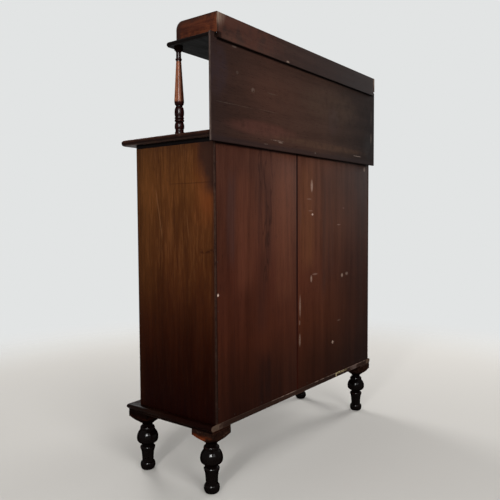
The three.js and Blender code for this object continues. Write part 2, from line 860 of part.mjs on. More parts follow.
// The gallery: its back is planted on the panel, between two ends that stand on the shelf and run on
// over the ends of the back.
const galleryHalf = topHalf - galleryEndInset;
const galleryInner = galleryHalf - galleryThickness;
add(
  'gallery_back',
  board([-galleryInner, galleryInner], [panelRear, galleryRear], [shelfTop - galleryDrop, galleryTop]),
  'gallery',
);
for (const { name, sign } of sides) {
  const front = shelfFront + galleryFrontInset;
  const end = new THREE.Shape();
  end.moveTo(galleryRear, shelfTop);
  end.lineTo(galleryRear, galleryTop);
  end.lineTo(front + galleryCornerRadius, galleryTop);
  end.absarc(
    front + galleryCornerRadius,
    galleryTop - galleryCornerRadius,
    galleryCornerRadius,
    Math.PI / 2,
    Math.PI,
    false,
  );
  end.lineTo(front, shelfTop);
  end.closePath();
  const from = sign > 0 ? galleryInner : -galleryHalf;
  add(`gallery_end_${name}`, runAlongX(end, from, from + galleryThickness), 'gallery');
}

export default chiffonier;
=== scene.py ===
import math

import bmesh
import bpy
from mathutils import Euler, Matrix, Vector


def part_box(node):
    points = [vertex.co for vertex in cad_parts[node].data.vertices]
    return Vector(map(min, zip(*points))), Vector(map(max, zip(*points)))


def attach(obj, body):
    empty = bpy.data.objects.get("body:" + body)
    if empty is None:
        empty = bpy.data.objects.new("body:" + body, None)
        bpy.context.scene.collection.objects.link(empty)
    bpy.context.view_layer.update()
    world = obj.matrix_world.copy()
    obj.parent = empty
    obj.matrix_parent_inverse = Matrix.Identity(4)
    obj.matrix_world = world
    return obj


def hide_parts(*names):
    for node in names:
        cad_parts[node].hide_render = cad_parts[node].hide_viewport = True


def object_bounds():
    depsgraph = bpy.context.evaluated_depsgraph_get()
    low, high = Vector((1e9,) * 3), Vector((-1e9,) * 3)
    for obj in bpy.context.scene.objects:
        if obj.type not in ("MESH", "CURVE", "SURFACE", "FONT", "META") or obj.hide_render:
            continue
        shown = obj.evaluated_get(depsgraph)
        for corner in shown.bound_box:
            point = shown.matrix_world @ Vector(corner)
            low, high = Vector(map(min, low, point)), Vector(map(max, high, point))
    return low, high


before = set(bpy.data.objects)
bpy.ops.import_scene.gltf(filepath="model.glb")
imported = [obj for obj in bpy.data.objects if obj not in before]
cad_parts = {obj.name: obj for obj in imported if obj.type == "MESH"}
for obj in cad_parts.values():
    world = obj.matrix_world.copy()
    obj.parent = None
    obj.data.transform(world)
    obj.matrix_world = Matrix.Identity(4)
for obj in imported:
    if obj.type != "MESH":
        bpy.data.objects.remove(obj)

cad_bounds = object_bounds()
mm = 0.001


# The feet
# Four square blocks of beech, turned below and ebonised, glued up under the frame of the plinth.
# The corners of each block break into a hollow shoulder over the turned neck.

foot_bulb_radius = 32.3 * mm
foot_block_height = 17 * mm
foot_block_from = 150 * mm
# Shares of the height and the radius, from the floor up. A third share swells the line from the
# row before into a bead, or hollows it where it is negative.
foot_shares = [
    (0, 0.49), (0.148, 0.53, 0.19), (0.17, 0.53), (0.3, 0.57), (0.35, 0.61), (0.392, 0.69),
    (0.412, 0.715), (0.432, 0.67), (0.465, 0.48), (0.48, 0.58), (0.503, 0.8), (0.523, 0.91),
    (0.545, 0.98), (0.585, 1.01), (0.63, 0.99), (0.67, 0.93), (0.71, 0.81), (0.738, 0.68),
    (0.744, 0.65), (0.8, 0.61, 0.065), (0.83, 0.475), (1, 1.7, -0.2),
]


def profile_of(rows, height, radius, bead_steps=12, longest=5 * mm):
    """The radius and height of points up a turning, from its rows of shares."""
    points = []
    for rise, reach, *bead in rows:
        swell = bead[0] if bead else 0
        point = Vector((reach * radius, rise * height))
        last = points[-1] if points else point
        straight = max(1, math.ceil((point - last).length / longest))
        steps = bead_steps if swell else straight
        for step in range(1, steps):
            if swell:
                angle = math.pi * step / steps
                between = last.lerp(point, (1 - math.cos(angle)) / 2)
                between.x += swell * radius * math.sin(angle)
            else:
                between = last.lerp(point, step / steps)
            points.append(between)
        points.append(point)
    return smoothed(points)


def smoothed(points, passes=2, sharp=45):
    """Rounds the shallow corners of a profile and leaves its quirks sharp."""
    for _ in range(passes):
        kept = [points[0]]
        for before, point, after in zip(points, points[1:], points[2:]):
            turn = math.degrees((point - before).angle(after - point, 0))
            if turn < 0.5 or turn > sharp:
                kept.append(point)
            else:
                kept += [point.lerp(before, 0.25), point.lerp(after, 0.25)]
        points = kept + [points[-1]]
    return points


def radius_at(points, height):
    """The radius of a profile at a height."""
    for low, high in zip(points, points[1:]):
        if low.y <= height <= high.y and high.y > low.y:
            return low.x + (high.x - low.x) * (height - low.y) / (high.y - low.y)
    return points[0].x if height < points[0].y else points[-1].x


def crests_of(points, reach=4 * mm):
    """How far each point stands proud of the profile around it, from -1 to 1."""
    crests = []
    for point in points:
        around = [radius_at(points, point.y + offset * reach) for offset in (-1, -0.5, 0.5, 1)]
        proud = (point.x - sum(around) / len(around)) / (0.4 * reach)
        crests.append(max(-1, min(1, proud)))
    return crests


def turned_mesh(points, place, sides=64, half_block=None):
    """A turned solid on the vertical through place, squared where it would pass a block."""
    corners = []
    proud = []
    for point, crest in zip(points, crests_of(points)):
        for side in range(sides):
            angle = math.tau * side / sides
            reach = point.x
            if half_block:
                reach = min(reach, half_block / max(abs(math.cos(angle)), abs(math.sin(angle))))
            spot = Vector((reach * math.cos(angle), reach * math.sin(angle), point.y))
            corners.append(place @ spot)
            proud.append(crest)
    faces = [list(range(sides))[::-1], [(len(points) - 1) * sides + side for side in range(sides)]]
    for ring in range(len(points) - 1):
        for side in range(sides):
            a = ring * sides + side
            b = ring * sides + (side + 1) % sides
            faces.append([a, b, b + sides, a + sides])
    mesh = bpy.data.meshes.new("turning")
    mesh.from_pydata(corners, [], faces)
    mesh.attributes.new("crest", "FLOAT", "POINT").data.foreach_set("value", proud)
    mesh.shade_smooth()
    mesh.set_sharp_from_angle(angle=math.radians(38))
    return mesh


class Wire:
    """A socket in a material's node tree, on which sums build their Math nodes."""

    def __init__(self, tree, socket=None):
        self.tree = tree
        self.socket = socket

    def node(self, kind, settings=None, inputs=None, output=0):
        """Adds a node, sets it, feeds its inputs and gives one of its outputs."""
        made = self.tree.nodes.new("ShaderNode" + kind)
        for key, value in (settings or {}).items():
            if key == "stops":
                stops = made.color_ramp.elements
                for _ in value[2:]:
                    stops.new(1)
                for stop, (share, shade) in zip(stops, value):
                    stop.position = share
                    stop.color = shade
            else:
                setattr(made, key, value)
        for key, value in (inputs or {}).items():
            if isinstance(value, Wire):
                self.tree.links.new(value.socket, made.inputs[key])
            else:
                made.inputs[key].default_value = value
        return Wire(self.tree, made.outputs[output] if made.outputs else None)

    def maths(self, operation, first, second=0.0):
        return self.node("Math", {"operation": operation}, {0: first, 1: second})

    def __add__(self, other):
        return self.maths("ADD", self, other)

    __radd__ = __add__

    def __sub__(self, other):
        return self.maths("SUBTRACT", self, other)

    def __rsub__(self, other):
        return self.maths("SUBTRACT", other, self)

    def __mul__(self, other):
        return self.maths("MULTIPLY", self, other)

    def __abs__(self):
        return self.maths("ABSOLUTE", self)

    def least(self, other):
        return self.maths("MINIMUM", self, other)

    def most(self, other):
        return self.maths("MAXIMUM", self, other)

    def eased(self, start, end):
        """0 before start and 1 past end, with a smooth step between them."""
        ends = {"Value": self, "From Min": start, "From Max": end}
        return self.node("MapRange", {"interpolation_type": "SMOOTHSTEP"}, ends)

    def tint(self, under, over):
        """The colour under, with the colour over laid on it where this mask is 1."""
        return self.node("Mix", {"data_type": "RGBA"}, {0: self, 6: under, 7: over}, output=2)

    def times(self, other):
        """This colour multiplied by another."""
        return self.node("VectorMath", {"operation": "MULTIPLY"}, {0: self, 1: other})

    def ramp(self, *stops):
        return self.node("ValToRGB", {"stops": stops}, {"Fac": self})

    def shades(self, *rows):
        """A colour that runs through rows of a share and its screen values."""
        return self.ramp(*((share, tone(*levels)) for share, *levels in rows))

    def figured(self, tones, start):
        """A colour that runs through three tones about the middle."""
        return self.ramp(*zip((start, 0.5, 1 - start), (tone(*levels) for levels in tones)))

    def axes(self):
        """The three parts of this vector."""
        split = self.node("SeparateXYZ", {}, {0: self}).socket.node
        return [Wire(self.tree, part) for part in split.outputs]

    def stretched(self, *scale):
        """This place with its axes scaled, which draws a pattern out along the smallest."""
        return self.node("Mapping", {}, {"Vector": self, "Scale": scale})

    def stained(self, *stains):
        """This colour with stains laid on it in turn, each a mask and its screen values."""
        colour = self
        for mask, *levels in stains:
            colour = mask.tint(colour, tone(*levels))
        return colour

    def noise(self, scale, detail=2.0, roughness=0.5, output=0):
        inputs = {"Vector": self, "Scale": scale, "Detail": detail, "Roughness": roughness}
        return self.node("TexNoise", {}, inputs, output=output)


def tone(red, green, blue):
    """A colour from its 8-bit screen values."""
    parts = []
    for value in (red, green, blue):
        share = value / 255
        parts.append(share / 12.92 if share <= 0.04045 else ((share + 0.055) / 1.055) ** 2.4)
    return (*parts, 1.0)


def blank(name):
    """A new material, with the place and the facing that its patterns are drawn from."""
    material = bpy.data.materials.new(name)
    material.use_nodes = True
    tree = material.node_tree
    tree.nodes.clear()
    given = Wire(tree).node("TexCoord").socket.node.outputs
    return material, Wire(tree, given["Object"]), Wire(tree, given["Normal"])


def surface(place, colour, roughness, relief, depth, specular=0.5, coat=0.0, metallic=0.0, haze=0.2):
    """Ends a material in one surface with a fine relief, under polish that dulls at its rims."""
    bump = place.node("Bump", {}, {"Strength": 1.0, "Distance": depth, "Height": relief})
    inputs = {"Base Color": colour, "Roughness": roughness, "Normal": bump, "Metallic": metallic}
    inputs["Specular IOR Level"] = specular
    if coat:
        rim = place.node("LayerWeight", {}, {"Blend": 0.5}, output=1)
        inputs["Coat Weight"] = rim.eased(0.6, 0.25) * coat
        inputs["Coat Roughness"] = haze
    place.node("OutputMaterial", {}, {"Surface": place.node("BsdfPrincipled", {}, inputs)})


def ebonised_turning(name, worn, block_from=None):
    """Black polish on a turning, thin and brown on the crests, with dull dust in the quirks."""
    material, place, facing = blank(name)
    crest = place.node("Attribute", {"attribute_name": "crest"}, output=2)
    speckle = place.noise(260, 3)
    patches = place.noise(34, 3)
    rubbed = (crest + (patches - 0.5) * 1.8).eased(0.5, 1.2) * worn
    dusty = (crest * -1 + (speckle - 0.5) * 1.2).eased(0.3, 1.1) * 0.25
    black = speckle.shades((0.3, 5, 2, 2), (0.7, 10, 5, 4))
    brown = speckle.shades((0.3, 36, 15, 10), (0.7, 70, 32, 20))
    colour = rubbed.tint(black, brown).stained((dusty, 26, 21, 19))
    if block_from:
        across, depth, rise = place.axes()
        rear = depth.eased(-0.02, 0.02)
        outward = (facing.axes()[0] * across).eased(0.2, 0.35)
        block = (rise + (patches - 0.5) * 8 * mm).eased(block_from, block_from + 8 * mm)
        grained = place.noise(90, 4, 0.65).shades((0.3, 18, 9, 7), (0.7, 40, 24, 18))
        colour = (block * (rear * 0.75 + 0.15)).tint(colour, grained)
        near = across.eased(-0.02, 0.02)
        rim = block * rise.eased(block_from + 26 * mm, block_from + 12 * mm) * outward * rear * near
        colour = colour.stained((rim * patches.eased(0.3, 0.55) * 0.85, 104, 46, 20))
        scuff = block * rear * place.noise(120, 4, 0.75).eased(0.56, 0.68)
        colour = colour.stained((scuff * 0.25, 110, 92, 78))
    polish = (1 - block) * 0.1 if block_from else 0.1
    surface(place, colour, 0.3 + patches * 0.2, speckle + patches, 0.3 * mm, 0.0, polish, haze=0.14)
    return material


def set_out(name, shape):
    """An object of this shape, put in the scene."""
    made = bpy.data.objects.new(name, shape)
    bpy.context.scene.collection.objects.link(made)
    return made


def add_piece(name, mesh, finish, slot, *nodes, body="carcass"):
    """Puts a finished mesh in the scene, in the place of the CAD nodes that it stands for."""
    piece = set_out(name, mesh)
    mesh.name = name
    mesh.materials.clear()
    mesh.materials.append(finish)
    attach(piece, body)
    if nodes:
        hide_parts(*nodes)
    return piece


foot_finish = ebonised_turning("ebonised_beech_foot", 0.35, foot_block_from)
for side in ("right", "left"):
    for end in ("rear", "front"):
        node = f"{end}_{side}_foot"
        low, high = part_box(node)
        turned_height = high.z - foot_block_height
        points = profile_of(foot_shares, turned_height, foot_bulb_radius)
        half_block = (high.x - low.x) / 2
        wide = half_block * 1.5
        points += [Vector((wide, turned_height + 0.2 * mm)), Vector((wide, high.z))]
        place = Matrix.Translation(((low.x + high.x) / 2, (low.y + high.y) / 2, 0))
        mesh = turned_mesh(points, place, sides=96, half_block=half_block)
        add_piece(f"{node}_turning", mesh, foot_finish, "ebonised_wood", node)


# The frame of the plinth
# A thin frame of three mahogany rails, open at the back, lies on the feet under the base board.
# It shows as a plain step under the round nose of the mouldings.


def eased_mesh(node, ease=0.7 * mm, bend=30):
    """A copy of a CAD board, with its triangles joined and its arrises rubbed round."""
    work = bmesh.new()
    work.from_mesh(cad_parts[node].data)
    bmesh.ops.remove_doubles(work, verts=work.verts, dist=0.001 * mm)
    bmesh.ops.dissolve_limit(work, angle_limit=math.radians(1), verts=work.verts, edges=work.edges)
    return eased_work(work, ease, bend)


def add_board(name, node, finish, slot, ease=0.7 * mm, body="carcass"):
    """A CAD board with its arrises rubbed round, in its finish."""
    add_piece(name, eased_mesh(node, ease), finish, slot, node, body=body)


def eased_work(work, ease, bend=30):
    """Rounds the arrises of a shape in work and gives it back as a plain mesh."""
    bmesh.ops.recalc_face_normals(work, faces=work.faces)
    arrises = [edge for edge in work.edges if edge.calc_face_angle(0) > math.radians(bend)]
    if ease:
        bmesh.ops.bevel(
            work, geom=arrises, offset=ease, segments=2, profile=0.5, affect="EDGES", clamp_overlap=True
        )
    work.verts.index_update()
    mesh = bpy.data.meshes.new("eased")
    corners = [corner.co.copy() for corner in work.verts]
    mesh.from_pydata(corners, [], [[corner.index for corner in face.verts] for face in work.faces])
    work.free()
    return mesh


def arris_mask(place, box, width, ragged):
    """1 along the arrises of a board that fills a box, and ragged further in."""
    inward = []
    for along, low, high in zip(place.axes(), *box):
        inward.append((along - low).least(high - along))
    across, depth, rise = inward
    second = across.least(depth).most(across.most(depth).least(rise))
    return (second + (ragged - 0.5) * width * 1.6).eased(width, width * 0.1)


grain_axes = {"X": (0.05, 1, 1), "Y": (1, 0.05, 1), "Z": (1, 1, 0.05)}
grain_depth = 0.3 * mm


def timber(
    name, node, grain, tones, seed, worn=None, wear=3 * mm, wear_amount=0.6,
    roughness=(0.35, 0.55), specular=0.03, coat=0.0, marks=None, contrast=1.0, end_tone=None,
):
    """A board's finish: streaks and pores along the grain, dark end grain and rubbed arrises."""
    material, place, facing = blank(name)
    shift = (seed * 0.37, seed * 0.71, seed * 0.53)
    settings = {"Vector": place, "Location": shift, "Scale": grain_axes[grain]}
    straight = place.node("Mapping", {}, settings)
    drift = place.noise(2.4, 1, output=1)
    bent = place.node(
        "VectorMath", {"operation": "MULTIPLY_ADD"}, {0: drift, 1: (0.02, 0.02, 0.02), 2: straight}
    )
    streaks = bent.noise(34, 4, 0.62)
    fine = bent.noise(240, 3, 0.6)
    pores = bent.noise(780, 1, 0.5).eased(0.6, 0.72)
    clouds = place.noise(4.2, 3)
    mixed = (streaks - 0.5) * 0.9 + (fine - 0.5) * 0.35 + (clouds - 0.5) * 0.5
    figure = mixed * contrast + 0.5
    colour = figure.figured(tones, 0.28)
    deep = tuple(value * 0.45 for value in tone(*tones[0])[:3]) + (1.0,)
    colour = (pores * 0.5).tint(colour, deep)
    axis = tuple(1.0 if letter == grain else 0.0 for letter in "XYZ")
    ahead = place.node("VectorMath", {"operation": "DOT_PRODUCT"}, {0: facing, 1: axis}, output=1)
    end_grain = abs(ahead).eased(0.7, 0.95)
    colour = (end_grain * 0.6).tint(colour, tone(*end_tone) if end_tone else deep)
    if worn:
        edge = arris_mask(place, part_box(node), wear, place.noise(55, 4, 0.7))
        colour = colour.stained((edge * wear_amount, *worn))
    matt = roughness[0] + fine * (roughness[1] - roughness[0]) + end_grain * 0.2
    if marks:
        colour, matt = marks(place, facing, colour, matt)
    height = fine * 0.5 - pores * 0.6 + streaks * 0.4
    surface(place, colour, matt, height, grain_depth, specular, coat)
    return material


mahogany_tones = ((20, 7, 4), (34, 13, 7), (54, 24, 14))
mahogany_worn = (96, 58, 38)


def mahogany(name, node, grain, seed, tones=mahogany_tones, worn=mahogany_worn, coat=0.05, **more):
    """French-polished mahogany of the mouldings, doors and columns."""
    polish = {"roughness": (0.22, 0.36), "specular": 0.01, "coat": coat}
    return timber(name, node, grain, tones, seed, worn, 1.4 * mm, 0.3, **polish, **more)


# The stain of the plinth from its front to its back. Its black ends are partly dirt, partly painted
# shade.
plinth_dirt_and_shade = (
    (0.08, 4, 1, 1), (0.24, 11, 5, 3), (0.34, 20, 9, 5), (0.41, 20, 9, 5), (0.48, 14, 4, 2),
    (0.66, 10, 2, 1), (0.8, 6, 1, 1),
)


def plinth_marks(place, facing, colour, matt):
    """Polish that is brown towards the front and black at both ends, with dirt and painted shade."""
    depth = place.axes()[1]
    share = (depth + (place.noise(30, 3) - 0.5) * 0.04) * 2.5 + 0.5
    behind = facing.axes()[1]
    return (behind.eased(0.8, 0.5) * 0.8).tint(colour, share.shades(*plinth_dirt_and_shade)), matt


plinth_tones = ((12, 4, 3), (24, 9, 5), (42, 17, 10))
finish = mahogany(
    "plinth_frame_mahogany", "plinth_fillet_frame", "X", 1, plinth_tones, coat=0.0,
    marks=plinth_marks,
)
add_board("plinth_frame", "plinth_fillet_frame", finish, "polished_wood", 0.8 * mm)


# The base board and its mouldings
# A pine board carries the cupboard. Round-nosed mahogany mouldings are glued along its front and
# ends and mitred at the front corners, and its rear edge is left bare.


def base_marks(place, facing, colour, matt):
    """The bare top arris of the rear edge, its worn ends, and a drip and crumbs of old glue."""
    across, _, rise = place.axes()
    behind = facing.axes()[1].eased(0.3, 0.7)
    crumbs = place.noise(330, 2).eased(0.5, 0.62)
    heap = crumbs * abs(across + 0.245).eased(0.05, 0.02) * rise.eased(0.1955, 0.199) * behind
    bare = abs(across + 0.25).eased(0.235, 0.2).most(abs(across - 0.13).eased(0.075, 0.05))
    patchy = place.noise(40, 3, 0.6).eased(0.36, 0.55)
    line = rise.eased(0.2022, 0.2042) * behind * bare * patchy
    drip = abs(across + 0.206).eased(0.004, 0.002) * rise.eased(0.19, 0.192) * behind
    near = (across + (patchy - 0.5) * 0.012).eased(0.43, 0.45) * behind
    far = abs(across + 0.34 + (patchy - 0.5) * 0.02).eased(0.02, 0.01) * behind
    colour = colour.stained(
        (line * 0.8, 134, 112, 100), (drip * 0.7, 190, 172, 134),
        (near * (crumbs * 0.6 + 0.3), 86, 70, 60), (far * 0.6, 96, 80, 74),
        (heap * 0.9, 196, 178, 130),
    )
    return colour, matt


finish = timber(
    "base_pine", "base_board", "X", ((26, 15, 11), (38, 23, 17), (52, 35, 28)), 2,
    worn=(78, 60, 50), wear=2 * mm, wear_amount=0.3, roughness=(0.6, 0.8), specular=0.02,
    marks=base_marks,
)
add_board("base_pine_board", "base_board", finish, "board_wood")


def nose_section(thickness, width, steps=18):
    """The section of a round-nosed strip: distance in from its nose, and height over its foot."""
    radius = thickness / 2
    points = [(width, 0.0), (width, thickness)]
    for step in range(steps + 1):
        angle = math.pi / 2 - math.pi * step / steps
        points.append((radius - radius * math.cos(angle), radius + radius * math.sin(angle)))
    return points


def strip_mesh(first, second, ease=0.3 * mm):
    """A strip between two ends, each a ring of points in the same order."""
    work = bmesh.new()
    rings = [[work.verts.new(point) for point in ring] for ring in (first, second)]
    count = len(first)
    work.faces.new(rings[0])
    work.faces.new(rings[1][::-1])
    for side in range(count):
        after = (side + 1) % count
        work.faces.new([rings[0][after], rings[0][side], rings[1][side], rings[1][after]])
    mesh = eased_work(work, ease, 50)
    mesh.shade_smooth()
    mesh.set_sharp_from_angle(angle=math.radians(30))
    return mesh


strip_low, strip_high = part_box("base_moulding_right")
front_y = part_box("base_moulding_front")[0].y
nose_x = strip_high.x
section = nose_section(strip_high.z - strip_low.z, strip_high.x - strip_low.x)
mitre_gap = 0.15 * mm
floor_z = strip_low.z
for name, sign in (("right", 1), ("left", -1)):
    node = f"base_moulding_{name}"
    first = [(sign * (nose_x - d), front_y + d + mitre_gap, floor_z + z) for d, z in section]
    second = [(sign * (nose_x - d), strip_high.y, floor_z + z) for d, z in section]
    finish = mahogany(
        f"{node}_mahogany", node, "Y", 3 + sign, coat=0.0, marks=plinth_marks, end_tone=(92, 76, 64)
    )
    mesh = strip_mesh(first, second)
    add_piece(f"{node}_nose", mesh, finish, "polished_wood", node)
ends = []
for sign in (1, -1):
    ends.append([(sign * (nose_x - d - mitre_gap), front_y + d, floor_z + z) for d, z in section])
finish = mahogany("base_moulding_front_mahogany", "base_moulding_front", "X", 6)
mesh = strip_mesh(*ends)
add_piece("base_moulding_front_nose", mesh, finish, "polished_wood", "base_moulding_front")


# The sides
# Two wide mahogany boards, rebated at the back for the back boards and housed for the shelf. The
# polish has faded to brown above and is darker below, partly as stain and partly as painted shade,
# and damp has stained the top rear corner.

# Pale wood, as a share of the stain over it.
bleached_tones = ((182, 178, 174), (224, 221, 217), (252, 250, 248))
# The stain of the sides at heights in metres. Its darkening towards the foot is partly painted shade.
side_stain_and_shade = (
    (0.22, 21, 2, 0), (0.33, 30, 6, 0), (0.42, 43, 15, 4), (0.53, 58, 27, 11), (0.64, 73, 39, 18),
    (0.74, 84, 48, 24), (0.85, 96, 57, 28), (0.93, 86, 51, 26), (0.975, 76, 45, 24),
)
# Pale streaks: the depth and height where each starts and ends, and how strongly it shows.
side_streaks = (((-0.053, 0.86), (-0.025, 0.7), 0.26), ((0.069, 0.79), (0.078, 0.7), 0.14))


def streak(place, start, end, half_width):
    """A soft streak between two points, given as their depth and height."""
    _, depth, rise = place.axes()
    lean = (end[0] - start[0]) / (end[1] - start[1])
    aside = abs(depth - start[0] - (rise - start[1]) * lean).eased(half_width, half_width * 0.2)
    fade = 0.03
    return aside * rise.eased(start[1], start[1] - fade) * rise.eased(end[1], end[1] + fade)


def side_marks(place, facing, colour, matt):
    """The stain, darker low down partly as painted shade, a grey top rear corner and a few bruises."""
    _, depth, rise = place.axes()
    ragged = place.noise(26, 4, 0.65) - 0.5
    upright = place.stretched(1, 1, 0.08)
    streaks = upright.noise(52, 4, 0.65) - 0.5
    shorter = place.stretched(1, 1, 0.1)
    flame = shorter.noise(120, 3, 0.7)
    # Partly painted shade: the stain darkens towards the foot, where less light falls.
    colour = colour.times((rise + streaks * 0.2 + ragged * 0.03).shades(*side_stain_and_shade))
    golden = (depth + streaks * 0.1).eased(-0.03, -0.11) * rise.eased(0.45, 0.6)
    fore = depth.eased(-0.09, -0.13)
    colour = colour.stained(
        (flame.eased(0.5, 0.66) * rise.eased(0.4, 0.8) * 0.2, 122, 76, 42),
        (flame.eased(0.5, 0.36) * 0.22, 38, 17, 8), (golden * 0.16, 86, 54, 20),
        (fore * 0.4, 34, 15, 7),
    )
    for start, end, amount in side_streaks:
        colour = colour.stained((streak(place, start, end, 3 * mm) * amount, 132, 92, 60))
    blush = (depth + ragged * 0.05).eased(0.08, 0.15) * (rise + ragged * 0.08).eased(0.72, 0.82)
    below = (0.93 - rise).most(0) * 0.34
    stain = (depth - below + ragged * 0.05).eased(0.085, 0.14)
    bruise = (depth + ragged * 0.02).eased(0.112, 0.128)
    bruise = bruise * abs(rise - 0.678 + ragged * 0.01).eased(0.009, 0.002)
    rule = abs(rise - 0.863 + ragged * 0.004).eased(0.0022, 0.0008) * depth.eased(-0.01, 0.03)
    lip = facing.axes()[1].eased(0.4, 0.8)
    bare = place.noise(60, 4, 0.7).shades((0.35, 34, 20, 16), (0.65, 60, 42, 34))
    bare = bare.stained((rise.eased(0.6, 0.3) * 0.5, 20, 10, 7))
    colour = colour.stained(
        (blush * 0.4, 106, 52, 24), (stain * rise.eased(0.81, 0.86) * 0.85, 34, 23, 20),
        (bruise * place.noise(70, 2).eased(0.4, 0.6) * 0.7, 30, 13, 7), (rule * 0.35, 34, 16, 9),
        (depth.eased(0.155, 0.168) * 0.4, 24, 10, 6),
    )
    return (lip * 0.85).tint(colour, bare), matt + stain * 0.15


for name, seed in (("right", 8), ("left", 9)):
    node = f"side_{name}"
    finish = timber(
        f"{node}_mahogany", node, "Z", bleached_tones, seed, roughness=(0.42, 0.6),
        specular=0.012, marks=side_marks, contrast=0.9,
    )
    add_board(f"{node}_board", node, finish, "side_wood")


# The inner shelf
# One plain pine board in housings in the two sides, bare wood darkened at its front edge.

pine_tones = ((112, 80, 50), (146, 108, 70), (172, 134, 92))


def bare_pine(name, node, grain, seed):
    """Planed pine that was never polished, brown with age."""
    return timber(
        name, node, grain, pine_tones, seed, worn=(92, 64, 42), wear=2.2 * mm, wear_amount=0.4,
        roughness=(0.6, 0.82), specular=0.1,
    )


finish = bare_pine("inner_shelf_pine", "inner_shelf", "X", 10)
add_board("inner_shelf_board", "inner_shelf", finish, "inner_wood")


# The back boards
# Two upright boards nailed into the rebates, stained and never polished. They meet off the middle
# in an open joint, where the right board's edge is halved and laps inside the left board.

# The stain of the back at heights in metres, darker towards the foot partly as painted shade, and
# its share across, from the far edge.
back_stain_and_shade = (
    (0.2, 52, 25, 16), (0.28, 60, 30, 19), (0.42, 79, 40, 25), (0.58, 86, 46, 32),
    (0.74, 93, 54, 39), (0.9, 90, 55, 42),
)
back_shares = (
    (0.05, (0.34, 0.38, 0.44, 1)), (0.12, (0.4, 0.46, 0.55, 1)), (0.27, (0.66, 0.76, 0.84, 1)),
    (0.42, (0.84, 0.92, 0.97, 1)), (0.58, (0.94, 0.93, 0.94, 1)), (0.88, (0.64, 0.6, 0.62, 1)),
)


def fleck(place, x, z, half_width, half_height):
    """A worn speck on the back, given by its middle and its half sizes."""
    across, _, rise = place.axes()
    across = (across - x) * (1 / half_width)
    rise = (rise - z) * (1 / half_height)
    return (across * across + rise * rise).eased(1.5, 0.2)


def specked(colour, place, rows, broken, *levels):
    """A colour with the specks of a table laid on it, where the mask broken lets them show."""
    for x, z, half_width, half_height, amount in rows:
        mask = fleck(place, x, z, half_width, half_height) * broken
        colour = colour.stained((mask * amount, *levels))
    return colour


# Places across and up, half sizes, and how strongly each speck shows.
back_flecks = [
    (-0.0367, 0.873, 0.007, 0.02, 0.34), (-0.02, 0.829, 0.016, 0.0025, 0.12),
    (-0.0411, 0.778, 0.0055, 0.0035, 0.85), (-0.03, 0.79, 0.016, 0.0018, 0.12),
    (-0.223, 0.742, 0.012, 0.0022, 0.2), (-0.258, 0.802, 0.008, 0.003, 0.08),
    (-0.0333, 0.562, 0.0055, 0.012, 0.34), (-0.0573, 0.576, 0.017, 0.0028, 0.2),
    (-0.248, 0.557, 0.0075, 0.007, 0.36), (-0.2834, 0.561, 0.01, 0.006, 0.24),
    (-0.4251, 0.952, 0.008, 0.009, 0.2), (0.4483, 0.5586, 0.0035, 0.0042, 1.0),
    (0.0372, 0.478, 0.0055, 0.036, 0.22), (0.0388, 0.366, 0.0055, 0.021, 0.22),
    (0.04, 0.424, 0.004, 0.008, 0.2), (-0.2247, 0.395, 0.012, 0.003, 0.1),
    (-0.1792, 0.322, 0.005, 0.006, 0.75), (-0.1792, 0.322, 0.011, 0.0018, 0.25),
]

# Stripes of the stain: middle and half width across, lowest and highest reach, strength, colour.
back_stripes = [
    (0.388, 0.018, 0.64, 0.9, 0.5, 56, 39, 36), (0.33, 0.04, 0.55, 0.9, 0.3, 96, 54, 38),
    (0.255, 0.012, 0.66, 0.93, 0.5, 40, 24, 20), (0.215, 0.018, 0.62, 0.9, 0.5, 44, 26, 21),
    (0.248, 0.024, 0.42, 0.68, 0.5, 40, 22, 17), (0.232, 0.036, 0.19, 0.37, 0.65, 24, 12, 9),
    (0.12, 0.05, 0.5, 0.93, 0.3, 102, 60, 40), (0.036, 0.012, 0.74, 0.82, 0.4, 62, 46, 42),
    (-0.01, 0.04, 0.6, 0.95, 0.4, 100, 62, 38), (-0.12, 0.014, 0.5, 0.93, 0.5, 48, 35, 31),
    (-0.16, 0.02, 0.55, 0.93, 0.4, 46, 34, 31), (-0.404, 0.01, 0.3, 0.98, 0.5, 38, 26, 22),
    (-0.425, 0.016, 0.18, 0.4, 0.5, 30, 16, 12),
]


